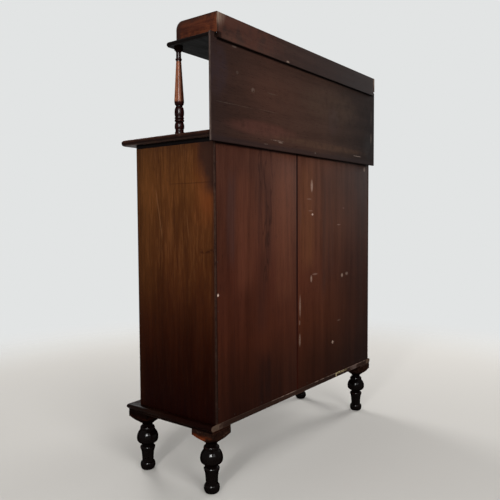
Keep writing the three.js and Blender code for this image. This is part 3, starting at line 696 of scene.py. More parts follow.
def back_marks(place, facing, colour, matt):
    """The stain in broad stripes and wavy lines, the open joint's grime, pale specks and painted
    shadow.
    """
    across, _, rise = place.axes()
    upright = place.stretched(1, 1, 0.06)
    wander = (place.noise(3, 2) - 0.5) * 0.024
    broad = upright.noise(26, 3, 0.65) - 0.5
    lines = upright.noise(70, 3, 0.65)
    # Partly painted shade: the stain darkens towards the foot.
    colour = colour.times((rise + broad * 0.16).shades(*back_stain_and_shade))
    colour = colour.times((across + 0.5).ramp(*back_shares))
    streaky = lines.eased(0.34, 0.6)
    for middle, half, foot, head, amount, *stain in back_stripes:
        stripe = abs(across - middle + wander).eased(half * 1.5, half * 0.4)
        reach = rise.eased(foot - 0.03, foot + 0.05) * rise.eased(head + 0.02, head - 0.05)
        colour = colour.stained((stripe * reach * (streaky * 0.7 + 0.3) * amount, *stain))
    wavy = abs(place.stretched(1, 1, 0.16).noise(24, 2) - 0.5)
    figure = abs(across - 0.235 + wander).eased(0.055, 0.03) * rise.eased(0.5, 0.62)
    thin = abs(across - 0.379 + wander * 0.1).eased(0.0022, 0.0008) * rise.eased(0.3, 0.4)
    chipped = place.noise(300, 2).eased(0.25, 0.5) * facing.axes()[1].eased(0.3, 0.7)
    colour = colour.stained(
        (figure * wavy.eased(0.02, 0.004) * 0.5, 30, 17, 13), (thin * 0.35, 38, 20, 16),
    )
    colour = specked(colour, place, back_flecks, chipped, 184, 158, 142)
    joint = abs(across - 0.0545).eased(0.0066, 0.0032)
    grime = (rise + (lines - 0.5) * 0.2).shades((0.25, 46, 15, 7), (0.6, 24, 9, 6))
    colour = (joint * 0.92).tint(colour, grime)
    rebate = abs(across).eased(0.4505, 0.4525) * 0.8
    # Painted shadow: a dark band along the top of the back, under the upper panel.
    top = rise.eased(0.9615, 0.9685) * 0.9
    return colour.stained((rebate.most(top), 14, 6, 4)), matt


# How far the right board laps past its edge, how far the left board is cut back for it, and the
# play between the halved faces.
back_lap = 5 * mm
back_recess = 3.5 * mm
lap_play = 0.3 * mm
for name, seed in (("right", 12), ("left", 15)):
    node = f"back_board_{name}"
    finish = timber(
        f"{node}_stained", node, "Z", bleached_tones, seed, roughness=(0.6, 0.8), specular=0.012,
        marks=back_marks, contrast=0.85,
    )
    low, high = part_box(node)
    halved = (low.y + high.y) / 2
    if name == "right":
        outer, edge, lip, face = high.x, low.x, low.x - back_lap, halved - lap_play
    else:
        outer, edge, lip, face = low.x, high.x, high.x - back_recess, halved
    outline = [(outer, low.y), (lip, low.y), (lip, face), (edge, face), (edge, high.y), (outer, high.y)]
    ends = [[(x, y, z) for x, y in outline] for z in (low.z, high.z)]
    mesh = strip_mesh(*ends, ease=1.0 * mm)
    add_piece(f"{node}_wood", mesh, finish, "back_wood", node)


# The sub-top
# A thin board under the top that ties the sides. It is near black, and its edge shows as a dark band.

finish = timber(
    "sub_top_near_black", "sub_top", "X", ((6, 3, 3), (10, 6, 5), (16, 10, 9)), 17,
    roughness=(0.5, 0.7), specular=0.02,
)
add_board("sub_top_board", "sub_top", finish, "ebonised_wood")


# The front frame and the drawer's runners
# Two stiles and a rail form the front of the cupboard. The rail is the floor of the drawer's
# opening, and a pine runner with a guide carries each side of the drawer.


def stile_marks(place, facing, colour, matt):
    """The outer edge has faded and darkened with the side that it meets, painted shade included."""
    upright = place.stretched(1, 1, 0.05)
    faded = upright.noise(34, 4, 0.62).figured(bleached_tones, 0.28)
    faded, _ = side_marks(place, facing, faded, matt)
    corner = place.axes()[1].eased(-0.1285, -0.1305)
    faded = faded.stained((corner * 0.6, 22, 9, 6))
    return abs(facing.axes()[0]).eased(0.4, 0.8).tint(colour, faded), matt + 0.1


for name, seed in (("right", 18), ("left", 19)):
    node = f"frame_stile_{name}"
    finish = mahogany(f"{node}_mahogany", node, "Z", seed, marks=stile_marks, coat=0.0)
    add_board(f"{node}_bar", node, finish, "side_wood")
    node = f"drawer_runner_{name}"
    finish = bare_pine(f"{node}_pine", node, "Y", seed + 2)
    add_board(f"{node}_bar", node, finish, "inner_wood", 0.5 * mm)
finish = mahogany("frieze_rail_mahogany", "frieze_rail", "X", 22)
add_board("frieze_rail_bar", "frieze_rail", finish, "side_wood")


# The front columns and the cornice
# Two turned mahogany columns with square heads stand before the stiles, and a plain cornice runs
# between the heads over the drawer.

front_column_radius = 18 * mm
front_column_shares = [
    (0, 1), (0.018, 1), (0.021, 0.78), (0.037, 0.78, 0.16), (0.041, 0.7), (0.088, 0.7, 0.29),
    (0.092, 0.72), (0.107, 0.72, 0.22), (0.112, 0.62), (0.15, 0.92), (0.2, 1), (0.82, 0.62),
    (0.838, 0.62, 0.24), (0.843, 0.6), (0.915, 0.64), (0.95, 0.74, 0.2), (0.955, 0.95), (1, 0.95),
]


def turned_mahogany(name, seed, pale_from, pale_to, tones):
    """Polished mahogany on a turning, faded between two heights, with painted shade inward and on its
    cap.
    """
    material, place, facing = blank(name)
    crest = place.node("Attribute", {"attribute_name": "crest"}, output=2)
    shift = (seed * 0.31, seed * 0.17, 0)
    settings = {"Vector": place, "Location": shift, "Scale": (1, 1, 0.12)}
    bent = place.node("Mapping", {}, settings)
    streaks = bent.noise(150, 4, 0.6)
    fine = bent.noise(620, 2, 0.6)
    across, _, rise = place.axes()
    colour = (streaks * 0.7 + fine * 0.3).figured(tones, 0.3)
    # Painted shade: the side of each column that faces inward is darkened, as if away from the light.
    inner = (facing.axes()[0] * across * (1 / 0.46)).eased(0.75, 0.25)
    colour = colour.stained((inner * 0.85, 36, 14, 8))
    fade = (pale_to - pale_from) * 0.03
    middle = rise.eased(pale_from, pale_from + fade) * rise.eased(pale_to, pale_to - fade)
    dark = streaks.shades((0.3, 10, 2, 2), (0.7, 36, 10, 7))
    colour = middle.tint(dark, colour)
    quirk = (crest * -1 + (fine - 0.5) * 0.5).eased(0.1, 0.7)
    colour = colour.stained((quirk * 0.9, 6, 2, 2))
    rub = (crest + (streaks - 0.5) * 1.2).eased(0.5, 1.2)
    colour = colour.stained((rub * 0.2, 84, 34, 24))
    # Painted shade: the top of the shaft, under the shelf or head, is near black and loses its polish.
    below_cap_shade = rise.eased(pale_to + 30 * mm, pale_to + 20 * mm)
    colour = below_cap_shade.tint(tone(7, 3, 2), colour)
    polish = (middle * -0.03 + 0.08) * below_cap_shade
    surface(place, colour, 0.34 + fine * 0.12, streaks + fine * 0.5, 0.04 * mm, 0.0, polish, haze=0.22)
    return material


column_tones = ((46, 19, 11), (76, 38, 23), (104, 60, 40))
column_finish = turned_mahogany("column_mahogany", 1, 0.28, 0.74, column_tones)
rail_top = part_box("frieze_rail")[1].z
for name, seed in (("right", 24), ("left", 25)):
    node = f"front_column_{name}"
    low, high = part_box(node)
    centre = (low.x + high.x) / 2
    shaft_axis = low.y + front_column_radius
    points = profile_of(front_column_shares, rail_top - low.z, front_column_radius)
    shaft = turned_mesh(points, Matrix.Translation((centre, shaft_axis, low.z)))
    inner = abs(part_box("frieze_cornice")[0].x)
    outer = 2 * abs(centre) - inner
    work = bmesh.new()
    bmesh.ops.create_cube(work, size=1)
    for corner in work.verts:
        corner.co.x = math.copysign(outer if corner.co.x > 0 else inner, centre)
        corner.co.y = high.y if corner.co.y > 0 else low.y
        corner.co.z = high.z if corner.co.z > 0 else rail_top
    head = eased_work(work, 0.8 * mm)
    finish = mahogany(f"{node}_head_mahogany", node, "Z", seed, worn=None)
    add_piece(f"{node}_shaft", shaft, column_finish, "polished_wood", node)
    add_piece(f"{node}_head", head, finish, "polished_wood")
finish = mahogany("cornice_mahogany", "frieze_cornice", "X", 26)
add_board("frieze_cornice_bar", "frieze_cornice", finish, "polished_wood", 1.2 * mm)


# The doors
# Each door is a frame of grooved stiles and rails round a thin panel of figured mahogany.

door_tones = ((38, 14, 8), (64, 28, 16), (94, 48, 29))
door_bars = {"hinge_stile": "Z", "meeting_stile": "Z", "top_rail": "X", "bottom_rail": "X"}
for side, seed in (("right", 30), ("left", 40)):
    body = f"{side}_door"
    for part, grain in door_bars.items():
        node = f"{body}_{part}"
        seed += 1
        finish = mahogany(f"{node}_mahogany", node, grain, seed)
        add_board(f"{node}_bar", node, finish, "polished_wood", 0.8 * mm, body)
    node = f"{body}_panel"
    finish = mahogany(f"{node}_mahogany", node, "Z", seed + 1, door_tones, None, contrast=1.25)
    add_board(f"{node}_board", node, finish, "polished_wood", 0.3 * mm, body)


# The hinges
# Four brass butts. Each leaf is let into the wood and held by three slotted screws, and the
# frame's leaf carries the pin on which the door's leaf turns.


def brass(name):
    """Dull brass, darkened in patches and brighter where it rubs."""
    material, place, _ = blank(name)
    patches = place.noise(120, 4, 0.65)
    colour = patches.shades((0.35, 112, 82, 44), (0.5, 164, 128, 72), (0.68, 196, 162, 98))
    surface(place, colour, 0.5 - patches * 0.3, place.noise(900, 2), 0.1 * mm, metallic=1.0)
    return material


brass_finish = brass("dull_brass")


def screw_head_mesh(radius, rise, sides=16):
    """A low domed screw head with its slot, standing on the XY plane."""
    work = bmesh.new()
    rings = []
    for share, height in ((1, -rise), (1, 0), (0.8, rise * 0.7), (0.45, rise)):
        ring = []
        for step in range(sides):
            angle = math.tau * step / sides
            reach = radius * share
            spot = (reach * math.cos(angle), reach * math.sin(angle), height)
            ring.append(work.verts.new(spot))
        rings.append(ring)
    for lower, upper in zip(rings, rings[1:]):
        for step in range(sides):
            after = (step + 1) % sides
            work.faces.new([lower[step], lower[after], upper[after], upper[step]])
    work.faces.new(rings[0][::-1])
    work.faces.new(rings[-1])
    for corner in rings[-1]:
        if abs(corner.co.y) < radius * 0.16:
            corner.co.z -= rise * 1.3
    return eased_work(work, 0)


def row_tree():
    """Geometry nodes that set heads in a row and turn each by chance about its own axis."""
    tree = bpy.data.node_groups.new("fixing_row", "GeometryNodeTree")
    sockets = [("Count", "Int"), ("Start", "Vector"), ("Step", "Vector"), ("Facing", "Rotation")]
    sockets += [("Seed", "Int"), ("Head", "Object"), ("Finish", "Material")]
    for label, kind in sockets:
        tree.interface.new_socket(label, in_out="INPUT", socket_type=f"NodeSocket{kind}")
    tree.interface.new_socket("Geometry", in_out="OUTPUT", socket_type="NodeSocketGeometry")
    kinds = {
        "given": "NodeGroupInput", "line": "GeometryNodeMeshLine", "head": "GeometryNodeObjectInfo",
        "set": "GeometryNodeInstanceOnPoints", "chance": "FunctionNodeRandomValue",
        "turn": "GeometryNodeRotateInstances", "real": "GeometryNodeRealizeInstances",
        "paint": "GeometryNodeSetMaterial", "out": "NodeGroupOutput",
    }
    nodes = {label: tree.nodes.new(kind) for label, kind in kinds.items()}
    nodes["line"].mode = "OFFSET"
    nodes["chance"].data_type = "FLOAT_VECTOR"
    nodes["chance"].inputs["Max"].default_value = (0, 0, math.tau)
    links = (
        ("given", "Count", "line", "Count"), ("given", "Start", "line", "Start Location"),
        ("given", "Step", "line", "Offset"), ("given", "Head", "head", "Object"),
        ("line", "Mesh", "set", "Points"), ("head", "Geometry", "set", "Instance"),
        ("given", "Facing", "set", "Rotation"), ("given", "Seed", "chance", "Seed"),
        ("set", "Instances", "turn", "Instances"), ("chance", "Value", "turn", "Rotation"),
        ("turn", "Instances", "real", "Geometry"), ("real", "Geometry", "paint", "Geometry"),
        ("given", "Finish", "paint", "Material"), ("paint", "Geometry", "out", "Geometry"),
    )
    for start, leaving, end, entering in links:
        tree.links.new(nodes[start].outputs[leaving], nodes[end].inputs[entering])
    return tree


fixing_row = row_tree()
row_sockets = {
    item.name: item.identifier for item in fixing_row.interface.items_tree if item.in_out == "INPUT"
}


def worked_out(carrier):
    """The plain mesh that an object's rule or outline works out to. The object is removed."""
    graph = bpy.context.evaluated_depsgraph_get()
    mesh = bpy.data.meshes.new_from_object(carrier.evaluated_get(graph))
    bpy.data.objects.remove(carrier)
    return mesh


def row_mesh(rows, head, finish):
    """The plain mesh of several rows of heads, joined."""
    whole = bmesh.new()
    for seed, (count, start, step, facing) in enumerate(rows):
        carrier = set_out("row_carrier", bpy.data.meshes.new("row_carrier"))
        rule = carrier.modifiers.new("row", "NODES")
        rule.node_group = fixing_row
        for label, value in zip(row_sockets, (count, start, step, facing, seed, head, finish)):
            rule[row_sockets[label]] = value
        whole.from_mesh(worked_out(carrier))
    mesh = bpy.data.meshes.new("rows")
    whole.to_mesh(mesh)
    whole.free()
    return mesh


screw_radius = 2.4 * mm
screw_rise = 0.35 * mm
screws_per_leaf = 3
screw_spacing = 22 * mm
screw_setback = 5 * mm
hinge_gap = 2 * mm
screw_head = bpy.data.objects.new("screw_head", screw_head_mesh(screw_radius, screw_rise))
facing_x = {1: Euler((0, math.pi / 2, 0)), -1: Euler((0, -math.pi / 2, 0))}
for side, sign in (("right", 1), ("left", -1)):
    stile_low, stile_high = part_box(f"{side}_door_hinge_stile")
    door_edge = stile_high.x if sign > 0 else stile_low.x
    for owner, body, inward in (("frame", "carcass", -1), ("door", f"{side}_door", 1)):
        face_x = door_edge if owner == "door" else door_edge + sign * hinge_gap
        rows = []
        for level in ("low", "high"):
            node = f"{side}_{owner}_hinge_leaf_{level}"
            low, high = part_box(node)
            mesh = eased_mesh(node, 0.25 * mm, 40)
            add_piece(f"{node}_brass", mesh, brass_finish, "brass", node, body=body)
            middle_z = (low.z + high.z) / 2
            start = Vector((face_x, high.y - screw_setback, middle_z - screw_spacing))
            step = Vector((0, 0, screw_spacing))
            rows.append((screws_per_leaf, start, step, facing_x[sign * inward]))
        mesh = row_mesh(rows, screw_head, brass_finish)
        add_piece(f"{side}_{owner}_hinge_screws", mesh, brass_finish, "brass", body=body)


# The nails of the back boards
# Cut iron nails, driven flush in an upright row at each outer edge and in one row along the foot.


def iron(name):
    """Dark rusted iron."""
    material, place, _ = blank(name)
    rust = place.noise(500, 3)
    colour = rust.shades((0.35, 20, 16, 16), (0.65, 48, 34, 28))
    surface(place, colour, 0.5 + rust * 0.3, rust, 0.15 * mm, specular=0.3, metallic=0.4)
    return material


nail_finish = iron("rusted_iron")
# The width, depth and height of a nail's head in millimetres.
nail_size = (3.2, 2.4, 0.5)
# Rows of nails: how many, how far apart, how far in from the end and how far up.
edge_nails = (6, 134 * mm, 5 * mm, 42 * mm)
foot_nails = (7, 129 * mm, 60 * mm, 9 * mm)
work = bmesh.new()
bmesh.ops.create_cube(work, size=1)
for corner in work.verts:
    spread = 0.7 if corner.co.z > 0 else 1.0
    sized = [way * size for way, size in zip(corner.co, nail_size)]
    corner.co = Vector((sized[0] * spread, sized[1] * spread, sized[2])) * mm
nail_head = bpy.data.objects.new("nail_head", eased_work(work, 0.15 * mm))
board_low, board_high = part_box("back_board_right")
far_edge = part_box("back_board_left")[0].x
facing_back = Euler((-math.pi / 2, 0, 0))
rows = []
count, spacing, inset, lift = edge_nails
for x in (board_high.x - inset, far_edge + inset):
    start = Vector((x, board_high.y, board_low.z + lift))
    rows.append((count, start, Vector((0, 0, spacing)), facing_back))
count, spacing, inset, lift = foot_nails
start = Vector((far_edge + inset, board_high.y, board_low.z + lift))
rows.append((count, start, Vector((spacing, 0, 0)), facing_back))
mesh = row_mesh(rows, nail_head, nail_finish)
add_piece("back_board_nails", mesh, nail_finish, "brass")


# The lock, its keyhole plate and the knobs
# A brass lock is screwed to the back of the right door. Its keyhole has a brass plate in front,
# and a small ebonised knob is set above it. The drawer has two such knobs.

for node, body in (("right_door_lock_case", "right_door"), ("right_door_lock_bolt", "lock_bolt")):
    mesh = eased_mesh(node, 0.3 * mm)
    add_piece(f"{node}_brass", mesh, brass_finish, "brass", node, body=body)


to_front = Matrix.Rotation(math.pi / 2, 4, "X")


def keyhole_plate_mesh(middle, half_width, half_height, oval_steps=40, bore_steps=18):
    """An oval plate with a keyhole cut through it, facing the front."""
    curve = bpy.data.curves.new("keyhole_plate", "CURVE")
    curve.dimensions = "2D"
    curve.fill_mode = "BOTH"
    curve.extrude = 0.35 * mm
    curve.bevel_depth = 0.2 * mm
    curve.bevel_resolution = 2
    oval = []
    for step in range(oval_steps):
        angle = math.tau * step / oval_steps
        oval.append((half_width * math.cos(angle), half_height * math.sin(angle)))
    bore = 3 * mm
    slot = 1.5 * mm
    drop = -9 * mm
    gape = 0.55
    start = -math.pi / 2 + gape
    turn = math.tau - 2 * gape
    hole = []
    for step in range(bore_steps + 1):
        angle = start + turn * step / bore_steps
        hole.append((bore * math.cos(angle), bore * math.sin(angle)))
    hole += [(-slot, drop), (slot, drop)]
    for outline in (oval, hole):
        spline = curve.splines.new("POLY")
        spline.points.add(len(outline) - 1)
        for point, (x, z) in zip(spline.points, outline):
            point.co = (x, z, 0, 1)
        spline.use_cyclic_u = True
    work = bmesh.new()
    work.from_mesh(worked_out(set_out("keyhole_plate", curve)))
    bmesh.ops.remove_doubles(work, verts=work.verts, dist=0.001 * mm)
    seat = Matrix.Translation(middle) @ to_front
    bmesh.ops.transform(work, matrix=seat, verts=work.verts)
    return eased_work(work, 0)


case_low, case_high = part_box("right_door_lock_case")
door_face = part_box("right_door_meeting_stile")[0].y
plate_rise = 0.5 * mm
middle_x = (case_low.x + case_high.x) / 2
middle_z = (case_low.z + case_high.z) / 2
keyhole = Vector((middle_x, door_face - plate_rise, middle_z))
mesh = keyhole_plate_mesh(keyhole, 8.5 * mm, 15 * mm)
add_piece("right_door_keyhole_plate", mesh, brass_finish, "brass", body="right_door")

knob_shares = [
    (0, 0.62), (0.1, 0.62), (0.16, 0.42), (0.4, 0.46, -0.03), (0.95, 0.4, 0.57), (1, 0.3),
]
knob_radius = 16 * mm
knob_finish = ebonised_turning("ebonised_knob", 0.9)
knobs = {
    "right_door_knob": "right_door", "drawer_knob_right": "drawer", "drawer_knob_left": "drawer",
}
for node, body in knobs.items():
    low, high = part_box(node)
    points = profile_of(knob_shares, high.y - low.y, knob_radius, 16, 3 * mm)
    seat = Matrix.Translation(((low.x + high.x) / 2, high.y, (low.z + high.z) / 2))
    mesh = turned_mesh(points, seat @ to_front, sides=48)
    add_piece(f"{node}_turning", mesh, knob_finish, "ebonised_wood", node, body=body)


# The drawer
# A cushion-moulded mahogany front on a box of pine. The bottom lies in grooves in the sides.

front_low, front_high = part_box("drawer_front")
cushion_edge = 22 * mm
cushion_steps = 24
edge_y = front_high.y - cushion_edge
section = [(front_high.y, front_high.z), (edge_y, front_high.z)]
for step in range(1, cushion_steps):
    share = step / cushion_steps
    bulge = (edge_y - front_low.y) * 4 * share * (1 - share)
    section.append((edge_y - bulge, front_high.z + (front_low.z - front_high.z) * share))
section += [(edge_y, front_low.z), (front_high.y, front_low.z)]
ends = [[(x, y, z) for y, z in section] for x in (front_low.x, front_high.x)]
finish = mahogany(
    "drawer_front_mahogany", "drawer_front", "X", 50, door_tones, None, contrast=1.1,
)
mesh = strip_mesh(*ends)
add_piece("drawer_front_cushion", mesh, finish, "polished_wood", "drawer_front", body="drawer")
for number, part in enumerate(("side_right", "side_left", "bottom", "back")):
    node = f"drawer_{part}"
    finish = bare_pine(f"{node}_pine", node, "Y" if "side" in part else "X", 52 + number)
    add_board(f"{node}_board", node, finish, "inner_wood", 0.5 * mm, "drawer")


# The top
# A mahogany board with a round nose along its front and ends, which stands well forward of the
# cupboard. Its square rear edge meets the upper panel.

nose_radii = {"top_board": (20 * mm, 8 * mm), "upper_shelf": (12 * mm, 5.6 * mm)}


def nosed_mesh(node, steps=12, arc=12):
    """A board with round front corners and a round nose along its front and ends."""
    low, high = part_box(node)
    corner, nose = nose_radii[node]
    rings = []
    lift = []
    for step in range(steps + 1):
        angle = math.pi * step / (2 * steps)
        lift.append((nose * (1 - math.sin(angle)), nose * (1 - math.cos(angle))))
    rows = [(inset, low.z + rise) for inset, rise in lift]
    rows += [(inset, high.z - rise) for inset, rise in reversed(lift)]
    for inset, z in rows:
        ring = [(high.x - inset, high.y, z)]
        for start, centre_x in ((0, high.x - corner), (-math.pi / 2, low.x + corner)):
            for step in range(arc + 1):
                angle = start - math.pi / 2 * step / arc
                reach = corner - inset
                x = centre_x + reach * math.cos(angle)
                ring.append((x, low.y + corner + reach * math.sin(angle), z))
        ring.append((low.x + inset, high.y, z))
        rings.append(ring)
    work = bmesh.new()
    made = [[work.verts.new(point) for point in ring] for ring in rings]
    for lower, upper in zip(made, made[1:]):
        for a, b, c, d in zip(lower, lower[1:], upper[1:], upper):
            work.faces.new([a, b, c, d])
    work.faces.new(made[0])
    work.faces.new(made[-1])
    work.faces.new([ring[0] for ring in made] + [ring[-1] for ring in reversed(made)])
    bmesh.ops.remove_doubles(work, verts=work.verts, dist=0.001 * mm)
    mesh = eased_work(work, 0)
    mesh.shade_smooth()
    mesh.set_sharp_from_angle(angle=math.radians(30))
    return mesh


def top_marks(place, facing, colour, matt):
    """Faint scratches of use, painted shade on the lower half of the edge, and dirt under the board."""
    up = facing.axes()[2]
    dirt = up.eased(-0.5, -0.95)
    scuffs = place.noise(60, 5, 0.75).eased(0.6, 0.72)
    # Painted shade: the round edge darkens where it faces down.
    colour = colour.stained(
        (abs(up).eased(0.9, 0.7) * up.eased(0.35, -0.35) * 0.75, 12, 6, 5),
        (dirt * 0.5, 60, 52, 48), (scuffs * 0.25, 112, 78, 60),
    )
    return colour, matt + scuffs * 0.2


finish = timber(
    "top_mahogany", "top_board", "X", ((34, 15, 9), (52, 27, 17), (72, 41, 27)), 60,
    worn=(92, 62, 46), wear=2.4 * mm, wear_amount=0.2, roughness=(0.3, 0.48), specular=0.02,
    marks=top_marks,
)
add_piece("top_nosed_board", nosed_mesh("top_board"), finish, "board_wood", "top_board")


# The upper panel
# A thin, wide board that hangs behind the top and carries the rear edge of the upper shelf. It
# was never polished, and is scratched along its lower edge.

# Places across and up, half sizes, and how strongly each scratch shows.
panel_scratches = [
    (0.181, 0.9985, 0.036, 0.0016, 0.2), (0.165, 0.9945, 0.012, 0.0014, 0.34),
    (0.241, 0.983, 0.01, 0.002, 0.16), (-0.0396, 0.9807, 0.006, 0.0028, 0.3),
    (-0.34, 0.995, 0.032, 0.0016, 0.42), (0.3864, 1.231, 0.01, 0.003, 0.14),
    (0.3733, 1.164, 0.006, 0.0045, 0.06), (0.3029, 1.1278, 0.008, 0.007, 0.12),
    (0.2095, 1.133, 0.026, 0.002, 0.07), (0.43, 1.0745, 0.04, 0.0011, 0.07),
    (0.36, 1.076, 0.06, 0.001, 0.05), (0.23, 1.08, 0.055, 0.001, 0.05),
    (-0.456, 1.07, 0.004, 0.022, 0.16), (-0.456, 1.15, 0.003, 0.03, 0.1),
]

# The stain across the panel, from the far edge.
panel_stain = (
    (0.04, 33, 24, 22), (0.1, 40, 30, 27), (0.26, 54, 40, 34), (0.42, 65, 46, 38),
    (0.72, 67, 45, 37), (0.88, 58, 40, 34), (0.97, 51, 37, 34),
)

# Clouds in the stain: middle across and up, half sizes, strength and colour.
panel_clouds = [
    (0.46, 1.16, 0.05, 0.07, 0.4, 48, 38, 42), (0.25, 1.024, 0.17, 0.022, 0.34, 92, 54, 46),
    (-0.1, 1.008, 0.3, 0.012, 0.3, 86, 62, 46), (0.2, 1.13, 0.14, 0.05, 0.25, 72, 46, 36),
    (-0.15, 1.15, 0.2, 0.06, 0.25, 72, 57, 46), (-0.16, 1.1, 0.04, 0.05, 0.3, 52, 42, 42),
    (-0.44, 1.04, 0.05, 0.05, 0.4, 42, 40, 39),
]


def panel_marks(place, facing, colour, matt):
    """Stain, clouds, a dark lower edge, pale scratches, painted light on the ends, painted shade at the
    top.
    """
    across, depth, rise = place.axes()
    mottle = place.noise(38, 4, 0.65)
    colour = colour.times((across + 0.5 + (mottle - 0.5) * 0.16).shades(*panel_stain))
    for x, z, half_width, half_height, amount, *stain in panel_clouds:
        cloud = fleck(place, x, z, half_width, half_height) * mottle.eased(0.25, 0.6)
        colour = colour.stained((cloud * amount, *stain))
    smudge = place.stretched(1, 1, 0.2).noise(60, 3, 0.6)
    smudge = smudge.eased(0.44, 0.6) * (across + (mottle - 0.5) * 0.04).eased(-0.43, -0.46)
    outward, behind, _ = facing.axes()
    scraped = place.noise(240, 2).eased(0.3, 0.55) * behind.eased(0.3, 0.7)
    colour = colour.stained(
        (rise.eased(1.15, 1.24) * 0.25, 34, 24, 21), (smudge * 0.6, 26, 20, 18),
    )
    colour = specked(colour, place, panel_scratches, scraped, 172, 152, 138)
    foot = (rise + (mottle - 0.5) * 0.01).eased(0.99, 0.98)
    # Painted shade: near black under the shelf's end and in the notch at the top corner, with crumbs.
    under = rise.eased(1.2305, 1.2345) * across.eased(0.4597, 0.4593)
    notch_shade = rise.eased(1.236, 1.2365) * across.eased(0.4693, 0.4683)
    crumbs = place.noise(260, 2).eased(0.5, 0.6)
    # Painted light: both end faces are pale, as if lit.
    end = abs(outward).eased(0.5, 0.85)
    dusty = place.noise(30, 4, 0.7).shades((0.3, 54, 42, 38), (0.7, 92, 78, 72))
    rim = abs(depth - 0.1772).eased(0.0012, 0.0036)
    colour = colour.stained(
        (foot * 0.5, 36, 28, 29), (under * 0.9, 9, 5, 4),
        (notch_shade * (1 - crumbs * 0.6) * 0.95, 12, 7, 5),
    )
    return (end * 0.9).tint(colour, dusty.stained((rim * 0.7, 34, 26, 24))), matt


finish = timber(
    "upper_panel_stained", "upper_back_panel", "X", bleached_tones, 63, roughness=(0.55, 0.75),
    specular=0.006, marks=panel_marks, contrast=0.7,
)
add_board("upper_panel_board", "upper_back_panel", finish, "panel_wood", 1.2 * mm)


# The upper columns
# Two slim turned mahogany columns carry the front of the shelf, with dowels into it and the top.

upper_column_radius = 13.4 * mm
upper_column_shares = [
    (0, 0.94), (0.022, 0.94), (0.026, 0.845), (0.047, 0.86), (0.052, 0.84), (0.13, 0.77, 0.19),
    (0.138, 0.83), (0.165, 0.83, 0.16), (0.169, 0.84), (0.193, 0.84, 0.13), (0.198, 0.83),
    (0.303, 0.76, 0.19), (0.313, 0.67), (0.322, 0.68), (0.335, 0.89), (0.35, 0.965), (0.372, 1),
    (0.832, 0.525), (0.837, 0.525), (0.862, 0.525, 0.14), (0.867, 0.525), (0.922, 0.51),
    (0.953, 0.85, -0.08), (0.957, 0.885), (1, 0.885),
]
column_tones = ((78, 38, 25), (116, 68, 48), (146, 98, 74))
upper_column_finish = turned_mahogany("upper_column_mahogany", 5, 1.086, 1.199, column_tones)
for name in ("right", "left"):
    node = f"upper_column_{name}"
    low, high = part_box(node)
    points = profile_of(upper_column_shares, high.z - low.z, upper_column_radius, 12, 4 * mm)
    place = Matrix.Translation(((low.x + high.x) / 2, (low.y + high.y) / 2, low.z))
    mesh = turned_mesh(points, place)
    add_piece(f"{node}_turning", mesh, upper_column_finish, "polished_wood", node)


# The upper shelf
# A thinner nosed board, near black on its edge and dusty grey underneath.


def shelf_marks(place, facing, colour, matt):
    """Bare grey wood on the underside."""
    under = facing.axes()[2].eased(-0.6, -0.97)
    along = place.stretched(0.25, 1, 1)
    bare = along.noise(40, 4, 0.6).shades((0.3, 18, 17, 16), (0.7, 46, 45, 45))
    return under.tint(colour, bare), matt + under * 0.2


finish = timber(
    "upper_shelf_near_black", "upper_shelf", "X", ((8, 5, 4), (13, 8, 7), (22, 14, 12)), 66,
    worn=(44, 32, 26), wear=2 * mm, wear_amount=0.15, roughness=(0.32, 0.48), specular=0.02,
    marks=shelf_marks,
)
add_piece("upper_shelf_board", nosed_mesh("upper_shelf"), finish, "ebonised_wood", "upper_shelf")


# The gallery
# A low rail of thin mahogany: the back is planted on the rear of the panel, and the two ends
# have round front corners. The polish is worn away at the near rear corner.

gallery_tones = ((36, 24, 20), (50, 34, 29), (64, 46, 39))


def gallery_marks(place, facing, colour, matt):
    """Polish worn at the near corner, dulled grey towards the far end, and a painted shadow at the
    foot.
    """
    across, _, rise = place.axes()
    mottle = place.noise(30, 4, 0.65)
    red = across.eased(0.1, 0.3) * mottle.eased(0.35, 0.6)
    far = (across + (mottle - 0.5) * 0.15).eased(0.25, -0.35)
    upright = place.stretched(1, 1, 0.1)
    scrape = upright.noise(150, 3, 0.7).eased(0.44, 0.62)
    corner = (across + (rise - 1.28) * 0.4).eased(0.432, 0.464) * rise.eased(1.256, 1.29)
    joint = (across + (mottle - 0.5) * 0.012).eased(0.444, 0.454) * rise.eased(1.256, 1.249)
    # Painted shadow: the foot of the back is near black.
    foot = rise.eased(1.2388, 1.2368)
    colour = colour.stained(
        (red * 0.4, 78, 44, 34), (far * 0.82, 30, 23, 22), (corner * scrape * 0.4, 134, 116, 102),
        (corner * 0.55, 120, 100, 87), (joint * 0.85, 16, 9, 7),
        (fleck(place, 0.136, 1.241, 0.008, 0.003) * 0.5, 150, 130, 116), (foot * 0.85, 10, 6, 5),
    )
    return colour, matt + corner * 0.2


finish = timber(
    "gallery_back_mahogany", "gallery_back", "X", gallery_tones, 70, worn=(84, 62, 52),
    wear=1.4 * mm, wear_amount=0.3, roughness=(0.45, 0.65), specular=0.008, marks=gallery_marks,
    contrast=0.8,
)
add_board("gallery_back_board", "gallery_back", finish, "gallery_wood", 0.9 * mm)


